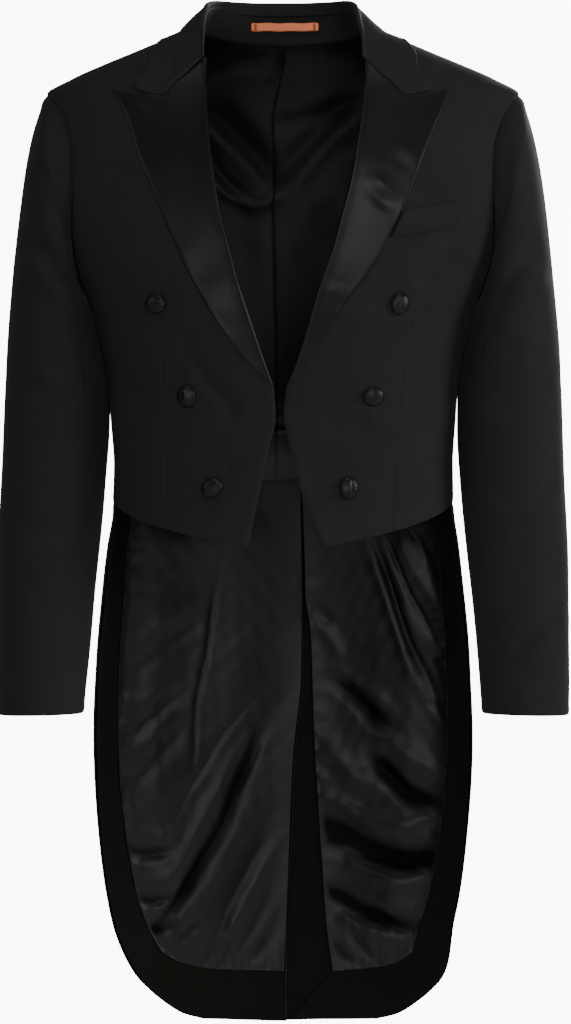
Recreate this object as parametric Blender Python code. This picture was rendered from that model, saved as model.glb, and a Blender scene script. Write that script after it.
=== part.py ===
"""Black evening tailcoat: hollow, as worn, with open neck, fronts, armholes, cuffs and tails.

Frame: metres, +Z up, the fronts face -Y, the wearer's left is +X. The origin lies between
the shoulders, a little under the neck seam, where the wearer carries the coat.
Every piece is a closed wall of cloth. Body pieces are patches of one worn form, given by its
height z and by its turn: 0 degrees at centre front, 90 at the side, 180 at centre back.
"""
import math

import bpy
import numpy as np

# Cloth thicknesses and clearances
WOOL = 0.0020
SATIN = 0.0018
LINING = 0.0010
SEAM_GAP = 0.0003
LINING_CLEAR = 0.0016
BACK_LINING_CLEAR = 0.0016
BACK_LINING_MARGIN = 0.0060
ARMHOLE_MARGIN = 0.0140
PULL_LIMIT = 0.5
LAPEL_CLEAR = 0.0010
LAPEL_ROLL_RISE = 0.0034
LAPEL_ROLL_TURN = 0.6

# Worn form: each row is one level, squared a little at the corners
ROUNDNESS = 2.3
BODY_COLUMNS = ("z", "half_width", "front_depth", "back_depth")
BODY_LEVELS = (
    (-1.050, 0.1990, 0.130, 0.124),
    (-0.800, 0.1970, 0.130, 0.120),
    (-0.700, 0.1955, 0.128, 0.117),
    (-0.626, 0.1920, 0.126, 0.113),
    (-0.558, 0.1859, 0.122, 0.106),
    (-0.513, 0.1813, 0.118, 0.098),
    (-0.468, 0.1751, 0.113, 0.088),
    (-0.430, 0.1746, 0.112, 0.082),
    (-0.385, 0.1762, 0.113, 0.080),
    (-0.345, 0.1775, 0.117, 0.084),
    (-0.318, 0.1800, 0.120, 0.089),
    (-0.296, 0.1855, 0.123, 0.093),
    (-0.270, 0.1970, 0.125, 0.098),
    (-0.255, 0.2035, 0.125, 0.100),
    (-0.240, 0.2120, 0.124, 0.102),
    (-0.210, 0.2280, 0.121, 0.105),
    (-0.170, 0.2395, 0.116, 0.107),
    (-0.130, 0.2445, 0.108, 0.106),
    (-0.100, 0.2455, 0.098, 0.104),
    (-0.070, 0.2445, 0.086, 0.100),
    (-0.047, 0.2430, 0.075, 0.097),
    (-0.031, 0.2173, 0.067, 0.094),
    (-0.014, 0.1790, 0.057, 0.091),
    (0.002, 0.1410, 0.047, 0.087),
    (0.030, 0.0780, 0.030, 0.078),
    (0.060, 0.0400, 0.020, 0.066),
)

# Heights and turns that the pieces share
NECK_SIDE_Z = 0.024
NECK_BACK_Z = 0.014
SHOULDER_Z = -0.047
ARMHOLE_LOW_Z = -0.255
ARMHOLE_FRONT = 0.062
ARMHOLE_BACK = 0.066
WAIST_SIDE = (78.0, -0.468)
WAIST_BACK = (163.0, -0.4525)
HEM_Z = -1.0155
VENT_TOP_Z = WAIST_BACK[1]
BACK_HEM = (157.0, -1.012)
TAIL_CORNER = (138.0, -0.984)
LINING_CORNER = (141.0, -0.940)
LINING_HEM_Z = -0.9625
LINING_HEM_MIDDLE = ((150.0, -0.953), (162.0, -0.960))
TAIL_LINING_TOP = (114.0, -0.4725)
LINING_VENT_TOP = (179.0, -0.4575)

# Cells along each seam, which both neighbours share
ARMHOLE_CELLS = 7
UNDERARM_CELLS = 6
SIDE_CELLS = 9
SKIRT_CELLS = 12
SHOULDER_CELLS = 6
NECK_BACK_CELLS = 5
NECK_FRONT_CELLS = 3
ROLL_CELLS = 8
FRONT_EDGE_CELLS = 5
SKIRT_COLUMNS = 8
LAPEL_ROWS = 10
TAIL_LINING_COLUMNS = 9
FACING_COLUMNS = 2
WAIST_ROW = ARMHOLE_CELLS + SIDE_CELLS

# Front edges: distance from the centre plane, which differs a little from side to side
FRONT_COLUMNS = ("z", "right", "left")
ROLL_LINE = (
    (-0.016, 0.0775, 0.0825),
    (-0.069, 0.0765, 0.0800),
    (-0.105, 0.0737, 0.0754),
    (-0.140, 0.0685, 0.0685),
    (-0.176, 0.0630, 0.0590),
    (-0.210, 0.0538, 0.0500),
    (-0.245, 0.0448, 0.0380),
    (-0.275, 0.0350, 0.0290),
    (-0.310, 0.0235, 0.0185),
    (-0.348, 0.0103, 0.0050),
)
FRONT_EDGE = (
    (-0.348, 0.0103, 0.0050),
    (-0.380, 0.0084, 0.0020),
    (-0.419, 0.0169, 0.0101),
    (-0.463, 0.0260, 0.0212),
    (-0.510, 0.0363, 0.0415),
)
LAPEL_EDGE = (
    (-0.048, 0.1734, 0.1665),
    (-0.070, 0.1612, 0.1597),
    (-0.092, 0.1530, 0.1505),
    (-0.120, 0.1440, 0.1400),
    (-0.150, 0.1313, 0.1290),
    (-0.178, 0.1203, 0.1180),
    (-0.205, 0.1085, 0.1045),
    (-0.235, 0.0950, 0.0865),
    (-0.265, 0.0790, 0.0635),
    (-0.290, 0.0630, 0.0480),
    (-0.315, 0.0455, 0.0310),
    (-0.344, 0.0175, 0.0120),
)
GORGE = (
    (-0.016, 0.0775, 0.0825),
    (-0.036, 0.1005, 0.1025),
    (-0.055, 0.1233, 0.1270),
    (-0.0500, 0.1480, 0.1480),
    (-0.048, 0.1734, 0.1665),
)
FRONT_NECK = ((0.087, 0.012), (0.0835, -0.002))

# Seams and edges of the tails, as turn and height
SIDE_SEAM = ((77.0, -0.300), (78.0, -0.380), WAIST_SIDE)
SIDE_BACK_SEAM = ((122.0, -0.280), (140.0, -0.340), (155.0, -0.400), WAIST_BACK)
SKIRT_SEAM = (WAIST_BACK, (161.0, -0.600), (159.0, -0.800), BACK_HEM)
TAIL_FRONT_EDGE = (
    (80.0, -0.4685),
    (83.0, -0.530),
    (86.0, -0.600),
    (90.5, -0.690),
    (96.0, -0.745),
    (103.5, -0.810),
    (113.0, -0.880),
    (122.0, -0.932),
    (130.0, -0.964),
    TAIL_CORNER,
)
TAIL_HEM = (TAIL_CORNER, (145.0, -0.998), (150.0, -1.006), BACK_HEM)
RIGHT_VENT_EDGE = (
    (184.4, -0.480),
    (184.6, -0.560),
    (184.4, -0.650),
    (182.4, -0.735),
    (181.5, -0.830),
    (180.5, -0.900),
    (180.4, HEM_Z),
)
LEFT_VENT_EDGE = ((184.6, -0.480), (184.6, -0.740), (184.6, HEM_Z))
LINING_FRONT_EDGE = (
    TAIL_LINING_TOP,
    (115.5, -0.560),
    (117.0, -0.690),
    (118.5, -0.745),
    (124.0, -0.820),
    (131.0, -0.885),
    LINING_CORNER,
)
RIGHT_LINING_CENTRE = (LINING_VENT_TOP, (184.0, -0.500), (184.2, -0.560),
                       (183.8, -0.650), (181.8, -0.735), (180.9, -0.830), (179.8, LINING_HEM_Z))
LEFT_LINING_CENTRE = (LINING_VENT_TOP, (175.0, -0.500), (175.0, -0.560),
                      (172.8, -0.620), (172.5, -0.700), (170.8, -0.820), (168.2, LINING_HEM_Z))

# Left tail lies outside the right one at the vent
VENT_LIFT = WOOL + 0.0010
VENT_LIFT_TURNS = (165.0, 173.0)
VENT_LIFT_LEVELS = (-0.380, -0.440)

# Sleeve rings below the armhole, hinged about the underarm
SLEEVE_COLUMNS = ("outer_x", "outer_z", "inner_x", "inner_z", "half_depth", "centre_y")
SLEEVE_RINGS = (
    (0.2480, -0.059, 0.2055, -0.2565, 0.0710, 0.002),
    (0.2575, -0.090, 0.2045, -0.262, 0.0745, 0.002),
    (0.2660, -0.132, 0.2000, -0.270, 0.0760, 0.002),
    (0.2725, -0.180, 0.1945, -0.281, 0.0755, 0.001),
    (0.2783, -0.236, 0.1885, -0.296, 0.0735, 0.000),
    (0.2830, -0.290, 0.1830, -0.318, 0.0705, -0.001),
    (0.2855, -0.342, 0.1798, -0.346, 0.0670, -0.002),
    (0.2880, -0.395, 0.1788, -0.395, 0.0635, -0.004),
    (0.2900, -0.450, 0.1826, -0.450, 0.0600, -0.008),
    (0.2922, -0.515, 0.1882, -0.515, 0.0565, -0.014),
    (0.2925, -0.580, 0.1946, -0.580, 0.0530, -0.022),
    (0.2925, -0.640, 0.2000, -0.640, 0.0500, -0.030),
    (0.2915, -0.686, 0.2035, -0.686, 0.0480, -0.036),
)
SLEEVE_ROUNDNESS = 2.2
FRONT_SLEEVE_SEAM = 7
BACK_SLEEVE_SEAM = 15

# Collar: the fold as x, y and z, and the outer edge of the fall, from centre back to the front
COLLAR_FOLD = (
    (0.0000, 0.0840, 0.0555),
    (0.0220, 0.0828, 0.0553),
    (0.0460, 0.0740, 0.0548),
    (0.0650, 0.0540, 0.0535),
    (0.0785, 0.0080, 0.0450),
    (0.0815, -0.0290, 0.0190),
    (0.0805, -0.0600, -0.0125),
)
COLLAR_OUTER_BACK = ((0.000, 0.0080), (0.035, 0.0085), (0.068, 0.0095), (0.097, 0.0100))
COLLAR_OUTER_SIDE_Z = 0.0102
COLLAR_OUTER_FRONT = ((0.1365, -0.0225), (0.1500, -0.0470))
COLLAR_END_GAP = 0.0024
COLLAR_ROWS = 5
COLLAR_CLEAR = 0.0034
COLLAR_EDGE_CLEAR = 0.0038
CREST_RISE = 0.0004
FALL_BULGE = 0.0055
STAND_DROP = 0.0028
STAND_INSET = 0.965
STAND_ROWS = 2

# Buttons: places on each front, top to bottom, and the covered dome's profile
BUTTON_PLACES = (
    (-0.2670, 0.1272, 0.1167),
    (-0.3600, 0.0962, 0.0903),
    (-0.4518, 0.0710, 0.0657),
)
BUTTON_PROFILE = ((0.0080, 0.0000), (0.0103, 0.0016), (0.0100, 0.0034), (0.0066, 0.0055))
BUTTON_HEIGHT = 0.0062
BUTTON_SIDES = 14
BUTTON_CLEAR = 0.0004

# Breast welt on the left front
WELT_TOP = ((0.1212, -0.1750), (0.1795, -0.1645))
WELT_BOTTOM = ((0.1095, -0.1998), (0.1805, -0.1875))
WELT_THICKNESS = 0.0016
WELT_COLUMNS = 5

# Hanger loop across the back of the neck
LOOP_COLUMNS = (-1.14, -1.0, -0.5, 0.0, 0.5, 1.0, 1.35)
LOOP_ROWS = (0.36, 0.62)
LOOP_THICKNESS = 0.0012
LOOP_CLEAR = 0.0008

# Largest soft folds of the tail linings: turn and height of both ends, reach and rise
FOLD_COLUMNS = ("turn_a", "z_a", "turn_b", "z_b", "reach", "rise")
RIGHT_TAIL_FOLDS = (
    (176.0, -0.640, 160.0, -0.780, 0.030, 0.0045),
    (160.0, -0.780, 143.0, -0.900, 0.030, 0.0040),
    (172.0, -0.840, 166.0, -0.950, 0.024, 0.0030),
)
LEFT_TAIL_FOLDS = (
    (128.0, -0.520, 138.0, -0.640, 0.026, 0.0045),
    (170.0, -0.640, 155.0, -0.690, 0.026, 0.0030),
    (165.0, -0.760, 135.0, -0.790, 0.028, 0.0045),
    (165.0, -0.870, 140.0, -0.860, 0.026, 0.0040),
)
BACK_LINING_FOLDS = (
    (150.0, -0.060, 178.0, -0.140, 0.028, 0.0035),
    (152.0, -0.110, 178.0, -0.190, 0.026, 0.0030),
    (160.0, -0.372, 179.0, -0.372, 0.022, 0.0060),
)
METRES_PER_DEGREE = 0.0024

# Turn at which each tail's hem facing ends
FACING_END_TURNS = {"left": 178.6, "right": 180.2}

# Colours, linear
WOOL_COLOUR = (0.0105, 0.0105, 0.0115)
SATIN_COLOUR = (0.0140, 0.0140, 0.0155)
LINING_COLOUR = (0.0110, 0.0105, 0.0115)
LOOP_COLOUR = (0.520, 0.130, 0.055)


def clear_scene():
    for item in list(bpy.data.objects):
        bpy.data.objects.remove(item, do_unlink=True)


def cloth_material(name, colour, roughness):
    material = bpy.data.materials.new(name)
    material.use_nodes = True
    shader = material.node_tree.nodes["Principled BSDF"]
    shader.inputs["Base Color"].default_value = (*colour, 1.0)
    shader.inputs["Roughness"].default_value = roughness
    shader.inputs["Metallic"].default_value = 0.0
    return material


def smooth_value(keys, values, at):
    """Smooth curve through the keys that never overshoots them."""
    keys = np.asarray(keys, float)
    values = np.asarray(values, float)
    at = np.clip(np.asarray(at, float), keys[0], keys[-1])
    steps = np.diff(keys)
    slopes = np.diff(values) / steps
    tangents = np.zeros(len(keys))
    product = slopes[:-1] * slopes[1:]
    total = np.where(product > 0, slopes[:-1] + slopes[1:], 1.0)
    tangents[1:-1] = np.where(product > 0, 2 * product / total, 0.0)
    tangents[0] = slopes[0]
    tangents[-1] = slopes[-1]
    i = np.clip(np.searchsorted(keys, at) - 1, 0, len(steps) - 1)
    t = (at - keys[i]) / steps[i]
    start = (1 + 2 * t) * (1 - t) ** 2 * values[i] + t * (1 - t) ** 2 * steps[i] * tangents[i]
    end = t * t * (3 - 2 * t) * values[i + 1] - t * t * (1 - t) * steps[i] * tangents[i + 1]
    return start + end


def smooth_step(low, high, at):
    t = np.clip((np.asarray(at, float) - low) / (high - low), 0.0, 1.0)
    return t * t * (3 - 2 * t)


LEVELS = np.array(BODY_LEVELS)


def level(column, z):
    return smooth_value(LEVELS[:, 0], LEVELS[:, BODY_COLUMNS.index(column)], z)


def body_point(turn, z):
    """Point of the worn form; a turn past 180 crosses the centre back."""
    turn = np.radians(np.asarray(turn, float))
    z = np.asarray(z, float)
    power = 2 / ROUNDNESS
    side = np.sign(np.sin(turn)) * np.abs(np.sin(turn)) ** power
    ahead = np.sign(np.cos(turn)) * np.abs(np.cos(turn)) ** power
    depth = np.where(ahead > 0, level("front_depth", z), level("back_depth", z))
    return np.stack([level("half_width", z) * side, -depth * ahead, z + 0 * side], -1)


def body_normal(turn, z, step=0.6, rise=0.002):
    """Unit normal of the worn form, pointing out."""
    across = body_point(np.asarray(turn) + step, z) - body_point(np.asarray(turn) - step, z)
    up = body_point(turn, np.asarray(z) + rise) - body_point(turn, np.asarray(z) - rise)
    normal = np.cross(across, up)
    return normal / np.linalg.norm(normal, axis=-1, keepdims=True)


def front_turn(x, z):
    """Turn at which the front of the form is x away from the centre plane."""
    share = np.clip(np.abs(x) / level("half_width", z), 0.0, 1.0)
    return np.degrees(np.arcsin(share ** (ROUNDNESS / 2)))


def turn_at_depth(y, z):
    """Turn at which the form is y behind the side line, or -y in front of it."""
    depth = np.where(np.asarray(y) < 0, level("front_depth", z), level("back_depth", z))
    share = np.clip(np.abs(y) / depth, 0.0, 1.0) ** (ROUNDNESS / 2)
    return 90.0 + np.sign(y) * np.degrees(np.arcsin(share))


def on_front(points):
    """Front-view points (x, z) as turns and heights."""
    points = np.asarray(points, float)
    return np.stack([front_turn(points[:, 0], points[:, 1]), points[:, 1]], -1)


def on_back(points):
    points = on_front(points)
    points[:, 0] = 180.0 - points[:, 0]
    return points


def side_column(rows, side):
    """Front-view points of one side of a table with right and left columns."""
    column = FRONT_COLUMNS.index("left" if side > 0 else "right")
    return np.array([(row[column], row[0]) for row in rows])


def resample(points, cells):
    """Points evenly spaced along a smooth curve through the given turns and heights."""
    points = np.asarray(points, float)
    scale = np.ones(points.shape[1])
    if points.shape[1] == 2:
        scale[0] = METRES_PER_DEGREE
    spans = np.linalg.norm(np.diff(points * scale, axis=0), axis=1)
    keys = np.concatenate([[0.0], np.cumsum(spans)])
    at = np.linspace(0.0, keys[-1], cells + 1)
    if len(points) == 2:
        return np.stack([np.interp(at, keys, column) for column in points.T], -1)
    return np.stack([smooth_value(keys, column, at) for column in points.T], -1)


def joined(*stretches):
    """One line from stretches that meet end to end."""
    kept = [stretches[0]] + [stretch[1:] for stretch in stretches[1:]]
    return np.concatenate(kept)


def patch(top, bottom, left, right):
    """Grid that fills four border lines; rows run from top to bottom."""
    u = np.linspace(0, 1, len(top))[None, :, None]
    v = np.linspace(0, 1, len(left))[:, None, None]
    along = (1 - v) * top[None] + v * bottom[None]
    down = (1 - u) * left[:, None] + u * right[:, None]
    corners = ((1 - u) * (1 - v) * top[0] + u * (1 - v) * top[-1]
               + (1 - u) * v * bottom[0] + u * v * bottom[-1])
    return along + down - corners


def stacked(top, bottom, left, right, breaks):
    """Patches stacked downward, which meet on straight lines at the rows in breaks."""
    rows = (0, *breaks, len(left) - 1)
    lines = [top] + [resample((left[row], right[row]), len(top) - 1) for row in breaks] + [bottom]
    parts = [patch(lines[i], lines[i + 1], left[start:end + 1], right[start:end + 1])
             for i, (start, end) in enumerate(zip(rows, rows[1:]))]
    return joined(*parts)


def unit(vectors):
    return vectors / np.linalg.norm(vectors, axis=-1, keepdims=True)


def pull_in(grid, amounts):
    """Move the border rows in by the amounts for the top, bottom, left and right.

    No border moves more than a set share of the way to its neighbour row.
    """
    moved = grid.copy()
    borders = (
        (grid[0], grid[1], amounts[0], (0, slice(None))),
        (grid[-1], grid[-2], amounts[1], (-1, slice(None))),
        (grid[:, 0], grid[:, 1], amounts[2], (slice(None), 0)),
        (grid[:, -1], grid[:, -2], amounts[3], (slice(None), -1)),
    )
    for border, inner, amount, where in borders:
        along = unit(np.gradient(border, axis=0))
        inward = inner - border
        inward = inward - along * np.sum(inward * along, axis=-1, keepdims=True)
        reach = PULL_LIMIT * np.linalg.norm(inward, axis=-1, keepdims=True)
        moved[where] += np.minimum(amount, reach) * unit(inward)
    return moved


def grid_normals(grid, wraps=False):
    """Unit normals of a grid of points."""
    if wraps:
        across = np.roll(grid, -1, axis=1) - np.roll(grid, 1, axis=1)
    else:
        across = np.gradient(grid, axis=1)
    return unit(np.cross(across, -np.gradient(grid, axis=0)))


def turned(face):
    """The face seen from behind, with its first corner and so its diagonal kept."""
    return (face[0], *reversed(face[1:]))


def wall_object(name, outer, inner, side, material):
    """Closed wall between two grids of the same size, mirrored for the wearer's right."""
    rows, columns = outer.shape[:2]
    points = np.concatenate([outer.reshape(-1, 3), inner.reshape(-1, 3)])
    points[:, 0] *= side
    shift = rows * columns
    faces = []
    for i in range(rows - 1):
        for j in range(columns - 1):
            a = i * columns + j
            quad = (a, a + 1, a + columns + 1, a + columns)
            faces.append(quad)
            faces.append(tuple(corner + shift for corner in turned(quad)))
    rim = list(range(columns))
    rim += [i * columns + columns - 1 for i in range(1, rows)]
    rim += [(rows - 1) * columns + j for j in range(columns - 2, -1, -1)]
    rim += [i * columns for i in range(rows - 2, 0, -1)]
    for a, b in zip(rim, rim[1:] + rim[:1]):
        faces.append((b, a, a + shift, b + shift))
    return mesh_object(name, points, faces, material)


def mesh_object(name, points, faces, material):
    """Mesh object with its faces pointing out."""
    volume = 0.0
    for face in faces:
        for k in range(1, len(face) - 1):
            a, b, c = points[face[0]], points[face[k]], points[face[k + 1]]
            volume += np.dot(a, np.cross(b, c))
    if volume < 0:
        faces = [turned(face) for face in faces]
    mesh = bpy.data.meshes.new(name)
    mesh.from_pydata([tuple(map(float, point)) for point in points], [], faces)
    mesh.update()
    mesh.shade_smooth()
    mesh.set_sharp_from_angle(angle=math.radians(50))
    mesh.materials.append(material)
    item = bpy.data.objects.new(name, mesh)
    bpy.context.scene.collection.objects.link(item)
    return item


def body_panel(name, cells, side, material, thickness=WOOL, lift=0.0, gaps=None):
    """Wall on the worn form over a grid of turns and heights."""
    turn = cells[..., 0]
    z = cells[..., 1]
    normal = body_normal(turn, z)
    lift = np.broadcast_to(lift, turn.shape)[..., None]
    outer = body_point(turn, z) + lift * normal
    if gaps is None:
        gaps = (SEAM_GAP / 2,) * 4
    outer = pull_in(outer, gaps)
    inner = outer - thickness * normal
    return wall_object(name, outer, inner, side, material)


def shoulder_seam():
    return resample(((90.0, NECK_SIDE_Z), (90.0, SHOULDER_Z)), SHOULDER_CELLS)


def armhole_loop():
    """Armhole from the shoulder point round the front, underarm and back."""
    cells = 2 * ARMHOLE_CELLS + UNDERARM_CELLS
    angle = np.linspace(0, 2 * math.pi, cells + 1)
    middle = (SHOULDER_Z + ARMHOLE_LOW_Z) / 2
    z = middle + (SHOULDER_Z - middle) * np.cos(angle)
    y = -np.where(np.sin(angle) > 0, ARMHOLE_FRONT, ARMHOLE_BACK) * np.sin(angle)
    return np.stack([turn_at_depth(y, z), z], -1)


def front_cells(side):
    loop = armhole_loop()
    armhole = loop[:ARMHOLE_CELLS + 1]
    side_seam = resample((armhole[-1], *SIDE_SEAM), SIDE_CELLS)
    roll = on_front(side_column(ROLL_LINE, side))
    neck = ((90.0, NECK_SIDE_Z), *on_front(FRONT_NECK), roll[0])
    inner = joined(
        resample(neck, NECK_FRONT_CELLS),
        resample(roll, ROLL_CELLS),
        resample(on_front(side_column(FRONT_EDGE, side)), FRONT_EDGE_CELLS),
    )
    hem = resample((inner[-1], WAIST_SIDE), SHOULDER_CELLS)
    return stacked(shoulder_seam(), hem, inner, joined(armhole, side_seam), (ARMHOLE_CELLS,))


def side_body_cells():
    loop = armhole_loop()
    front = loop[ARMHOLE_CELLS]
    back = loop[ARMHOLE_CELLS + UNDERARM_CELLS]
    underarm = loop[ARMHOLE_CELLS:ARMHOLE_CELLS + UNDERARM_CELLS + 1]
    waist = resample((WAIST_SIDE, WAIST_BACK), UNDERARM_CELLS)
    left = resample((front, *SIDE_SEAM), SIDE_CELLS)
    right = resample((back, *SIDE_BACK_SEAM), SIDE_CELLS)
    return patch(underarm, waist, left, right)


def neck_back():
    return resample(
        ((180.0, NECK_BACK_Z), *on_back(((0.045, 0.0160), (0.078, 0.0205))), (90.0, NECK_SIDE_Z)),
        NECK_BACK_CELLS)


def back_cells(side):
    loop = armhole_loop()
    armhole = loop[ARMHOLE_CELLS + UNDERARM_CELLS:][::-1]
    side_back = resample((armhole[-1], *SIDE_BACK_SEAM), SIDE_CELLS)
    outer = joined(armhole, side_back, resample(SKIRT_SEAM, SKIRT_CELLS))
    vent = LEFT_VENT_EDGE if side > 0 else RIGHT_VENT_EDGE
    centre = joined(
        resample(((180.0, NECK_BACK_Z), (180.0, armhole[-1][1])), ARMHOLE_CELLS),
        resample(((180.0, armhole[-1][1]), (180.0, VENT_TOP_Z)), SIDE_CELLS),
        resample(((180.0, VENT_TOP_Z), *vent), SKIRT_CELLS),
    )
    top = joined(neck_back(), shoulder_seam())
    hem = resample((centre[-1], BACK_HEM), len(top) - 1)
    return stacked(top, hem, centre, outer, (ARMHOLE_CELLS, WAIST_ROW))


def vent_lift(cells, side):
    """How far the left tail stands off, to lie over the right one."""
    if side < 0:
        return np.zeros(cells.shape[:2])
    near = smooth_step(*VENT_LIFT_TURNS, cells[..., 0])
    low = smooth_step(-VENT_LIFT_LEVELS[0], -VENT_LIFT_LEVELS[1], -cells[..., 1])
    return VENT_LIFT * near * low


def skirt_cells():
    top = resample((TAIL_FRONT_EDGE[0], WAIST_BACK), SKIRT_COLUMNS)
    front = resample(TAIL_FRONT_EDGE, SKIRT_CELLS)
    hem = resample(TAIL_HEM, SKIRT_COLUMNS)
    return patch(top, hem, front, resample(SKIRT_SEAM, SKIRT_CELLS))


def fold_lift(cells, folds):
    """Rise of the soft folds, greatest on each fold's line."""
    place = cells * np.array([METRES_PER_DEGREE, 1.0])
    rise = np.zeros(cells.shape[:2])
    for row in folds:
        fold = dict(zip(FOLD_COLUMNS, row))
        start = np.array([fold["turn_a"] * METRES_PER_DEGREE, fold["z_a"]])
        line = np.array([fold["turn_b"] * METRES_PER_DEGREE, fold["z_b"]]) - start
        share = np.clip(np.sum((place - start) * line, -1) / np.dot(line, line), 0, 1)
        away = np.linalg.norm(place - start - share[..., None] * line, axis=-1)
        rise = np.maximum(rise, fold["rise"] * np.exp(-(away / fold["reach"]) ** 2))
    return rise


def build_body(side, name, material):
    pull = SEAM_GAP / 2
    body_panel("front_" + name, front_cells(side), side, material)
    body_panel("side_body_" + name, side_body_cells(), side, material,
               gaps=(pull, SEAM_GAP, pull, pull))
    cells = back_cells(side)
    body_panel("back_" + name, cells, side, material, lift=vent_lift(cells, side))
    body_panel("skirt_" + name, skirt_cells(), side, material,
               gaps=(SEAM_GAP, pull, pull, pull))


def sleeve_grids():
    """Outer and inner grids of the whole sleeve, rings from the armhole to the cuff."""
    loop = armhole_loop()
    edge = body_point(loop[:, 0], loop[:, 1])
    normal = body_normal(loop[:, 0], loop[:, 1])
    along = edge[1:] - edge[:-1]
    along = unit(np.concatenate([along[-1:] + along[:1], along[1:] + along[:-1],
                                 along[-1:] + along[:1]]))
    into = np.cross(normal, along)
    centre = edge[:-1].mean(axis=0)
    into *= np.sign(np.sum(into * (centre - edge), axis=-1, keepdims=True))
    angle = np.linspace(0, 2 * math.pi, len(loop))
    turned = ((1 - np.cos(angle)) / 2)[:, None] ** 2
    start_normal = unit(normal * (1 - turned) - into * turned)
    rings = [edge + SEAM_GAP * into]
    power = 2 / SLEEVE_ROUNDNESS
    along_axis = np.sign(np.cos(angle)) * np.abs(np.cos(angle)) ** power
    across_axis = np.sign(np.sin(angle)) * np.abs(np.sin(angle)) ** power
    for row in SLEEVE_RINGS:
        ring = dict(zip(SLEEVE_COLUMNS, row))
        top = np.array([ring["outer_x"], ring["outer_z"]])
        low = np.array([ring["inner_x"], ring["inner_z"]])
        middle = (top + low) / 2 + (top - low) / 2 * along_axis[:, None]
        y = ring["centre_y"] - ring["half_depth"] * across_axis
        rings.append(np.stack([middle[:, 0], y, middle[:, 1]], -1))
    outer = np.array(rings)
    normals = grid_normals(outer[:, :-1], wraps=True)
    middle = outer[:, :-1].mean(axis=1, keepdims=True)
    if np.sum(normals[3:] * (outer[3:, :-1] - middle[3:])) < 0:
        normals = -normals
    normals = np.concatenate([normals, normals[:, :1]], axis=1)
    normals[0] = start_normal
    return outer, outer - WOOL * normals


def build_sleeve(side, name, material):
    outer, inner = sleeve_grids()
    last = outer.shape[1] - 1
    under = list(range(FRONT_SLEEVE_SEAM, BACK_SLEEVE_SEAM + 1))
    upper = list(range(BACK_SLEEVE_SEAM, last)) + list(range(FRONT_SLEEVE_SEAM + 1))
    gaps = (0.0, 0.0, SEAM_GAP, SEAM_GAP)
    for kind, columns in (("top_sleeve_", upper), ("under_sleeve_", under)):
        wall_object(kind + name, pull_in(outer[:, columns], gaps),
                    pull_in(inner[:, columns], gaps), side, material)


def build_lapel(side, name, material):
    roll = resample(on_front(side_column(ROLL_LINE, side)), LAPEL_ROWS)
    roll[:, 0] -= np.linspace(LAPEL_ROLL_TURN, 0.0, len(roll))
    edge = resample(on_front(side_column(LAPEL_EDGE, side)), LAPEL_ROWS)
    top = on_front(side_column(GORGE, side))
    bottom = resample((roll[-1], edge[-1]), len(top) - 1)
    cells = patch(top, bottom, roll, edge)
    from_roll = np.linspace(0, 1, len(top))[None, :]
    lift = SATIN + LAPEL_CLEAR + LAPEL_ROLL_RISE * (1 - from_roll) ** 2
    body_panel("lapel_" + name, cells, side, material, SATIN, lift)


def collar_lines():
    """Neck seam, fold and outer edge of half the collar, from centre back to the front."""
    roll_top = np.array([[(GORGE[0][1] + GORGE[0][2]) / 2, GORGE[0][0]]])
    front = resample(((90.0, NECK_SIDE_Z), *on_front(FRONT_NECK), on_front(roll_top)[0]),
                     NECK_FRONT_CELLS)
    seam = joined(neck_back(), front)
    neck = body_point(seam[:, 0], seam[:, 1])
    cells = len(seam) - 1
    fold = resample(COLLAR_FOLD, cells)
    outer = resample((*on_back(COLLAR_OUTER_BACK), (90.0, COLLAR_OUTER_SIDE_Z),
                      *on_front(COLLAR_OUTER_FRONT)), cells)
    edge = body_point(outer[:, 0], outer[:, 1])
    edge += COLLAR_EDGE_CLEAR * body_normal(outer[:, 0], outer[:, 1])
    return neck, fold, edge


def mirrored_row(grid):
    """Whole collar from its left half: columns run from the right front to the left front."""
    other = grid[:, :0:-1].copy()
    other[..., 0] *= -1
    return np.concatenate([other, grid], axis=1)


def outside_body(points, clear):
    """Points moved out of the worn form wherever they would lie within it."""
    x, y, z = points[..., 0], points[..., 1], points[..., 2]
    depth = np.where(y < 0, level("front_depth", z), level("back_depth", z)) + clear
    width = level("half_width", z) + clear
    share = ((np.abs(x) / width) ** ROUNDNESS + (np.abs(y) / depth) ** ROUNDNESS)
    scale = np.where(share < 1, np.maximum(share, 0.01) ** (-1 / ROUNDNESS), 1.0)
    return np.stack([x * scale, y * scale, z], -1)


def stand_grids():
    """Outer and inner grids of the stand, which ends just behind the front end of the fold."""
    neck = collar_lines()[0][:-1]
    top = resample(COLLAR_FOLD[:-1], len(neck) - 1) - np.array([0.0, 0.0, STAND_DROP])
    rows = np.linspace(1, 0, STAND_ROWS + 1)[:, None, None]
    lower = neck * np.array([STAND_INSET, 1.0, 1.0]) + np.array([0.0, 0.0, 2 * SEAM_GAP])
    outer = mirrored_row(rows * top + (1 - rows) * lower)
    normals = grid_normals(outer)
    if np.sum(normals * outer * np.array([1, 1, 0])) < 0:
        normals = -normals
    return outer, outer - WOOL * normals


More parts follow.
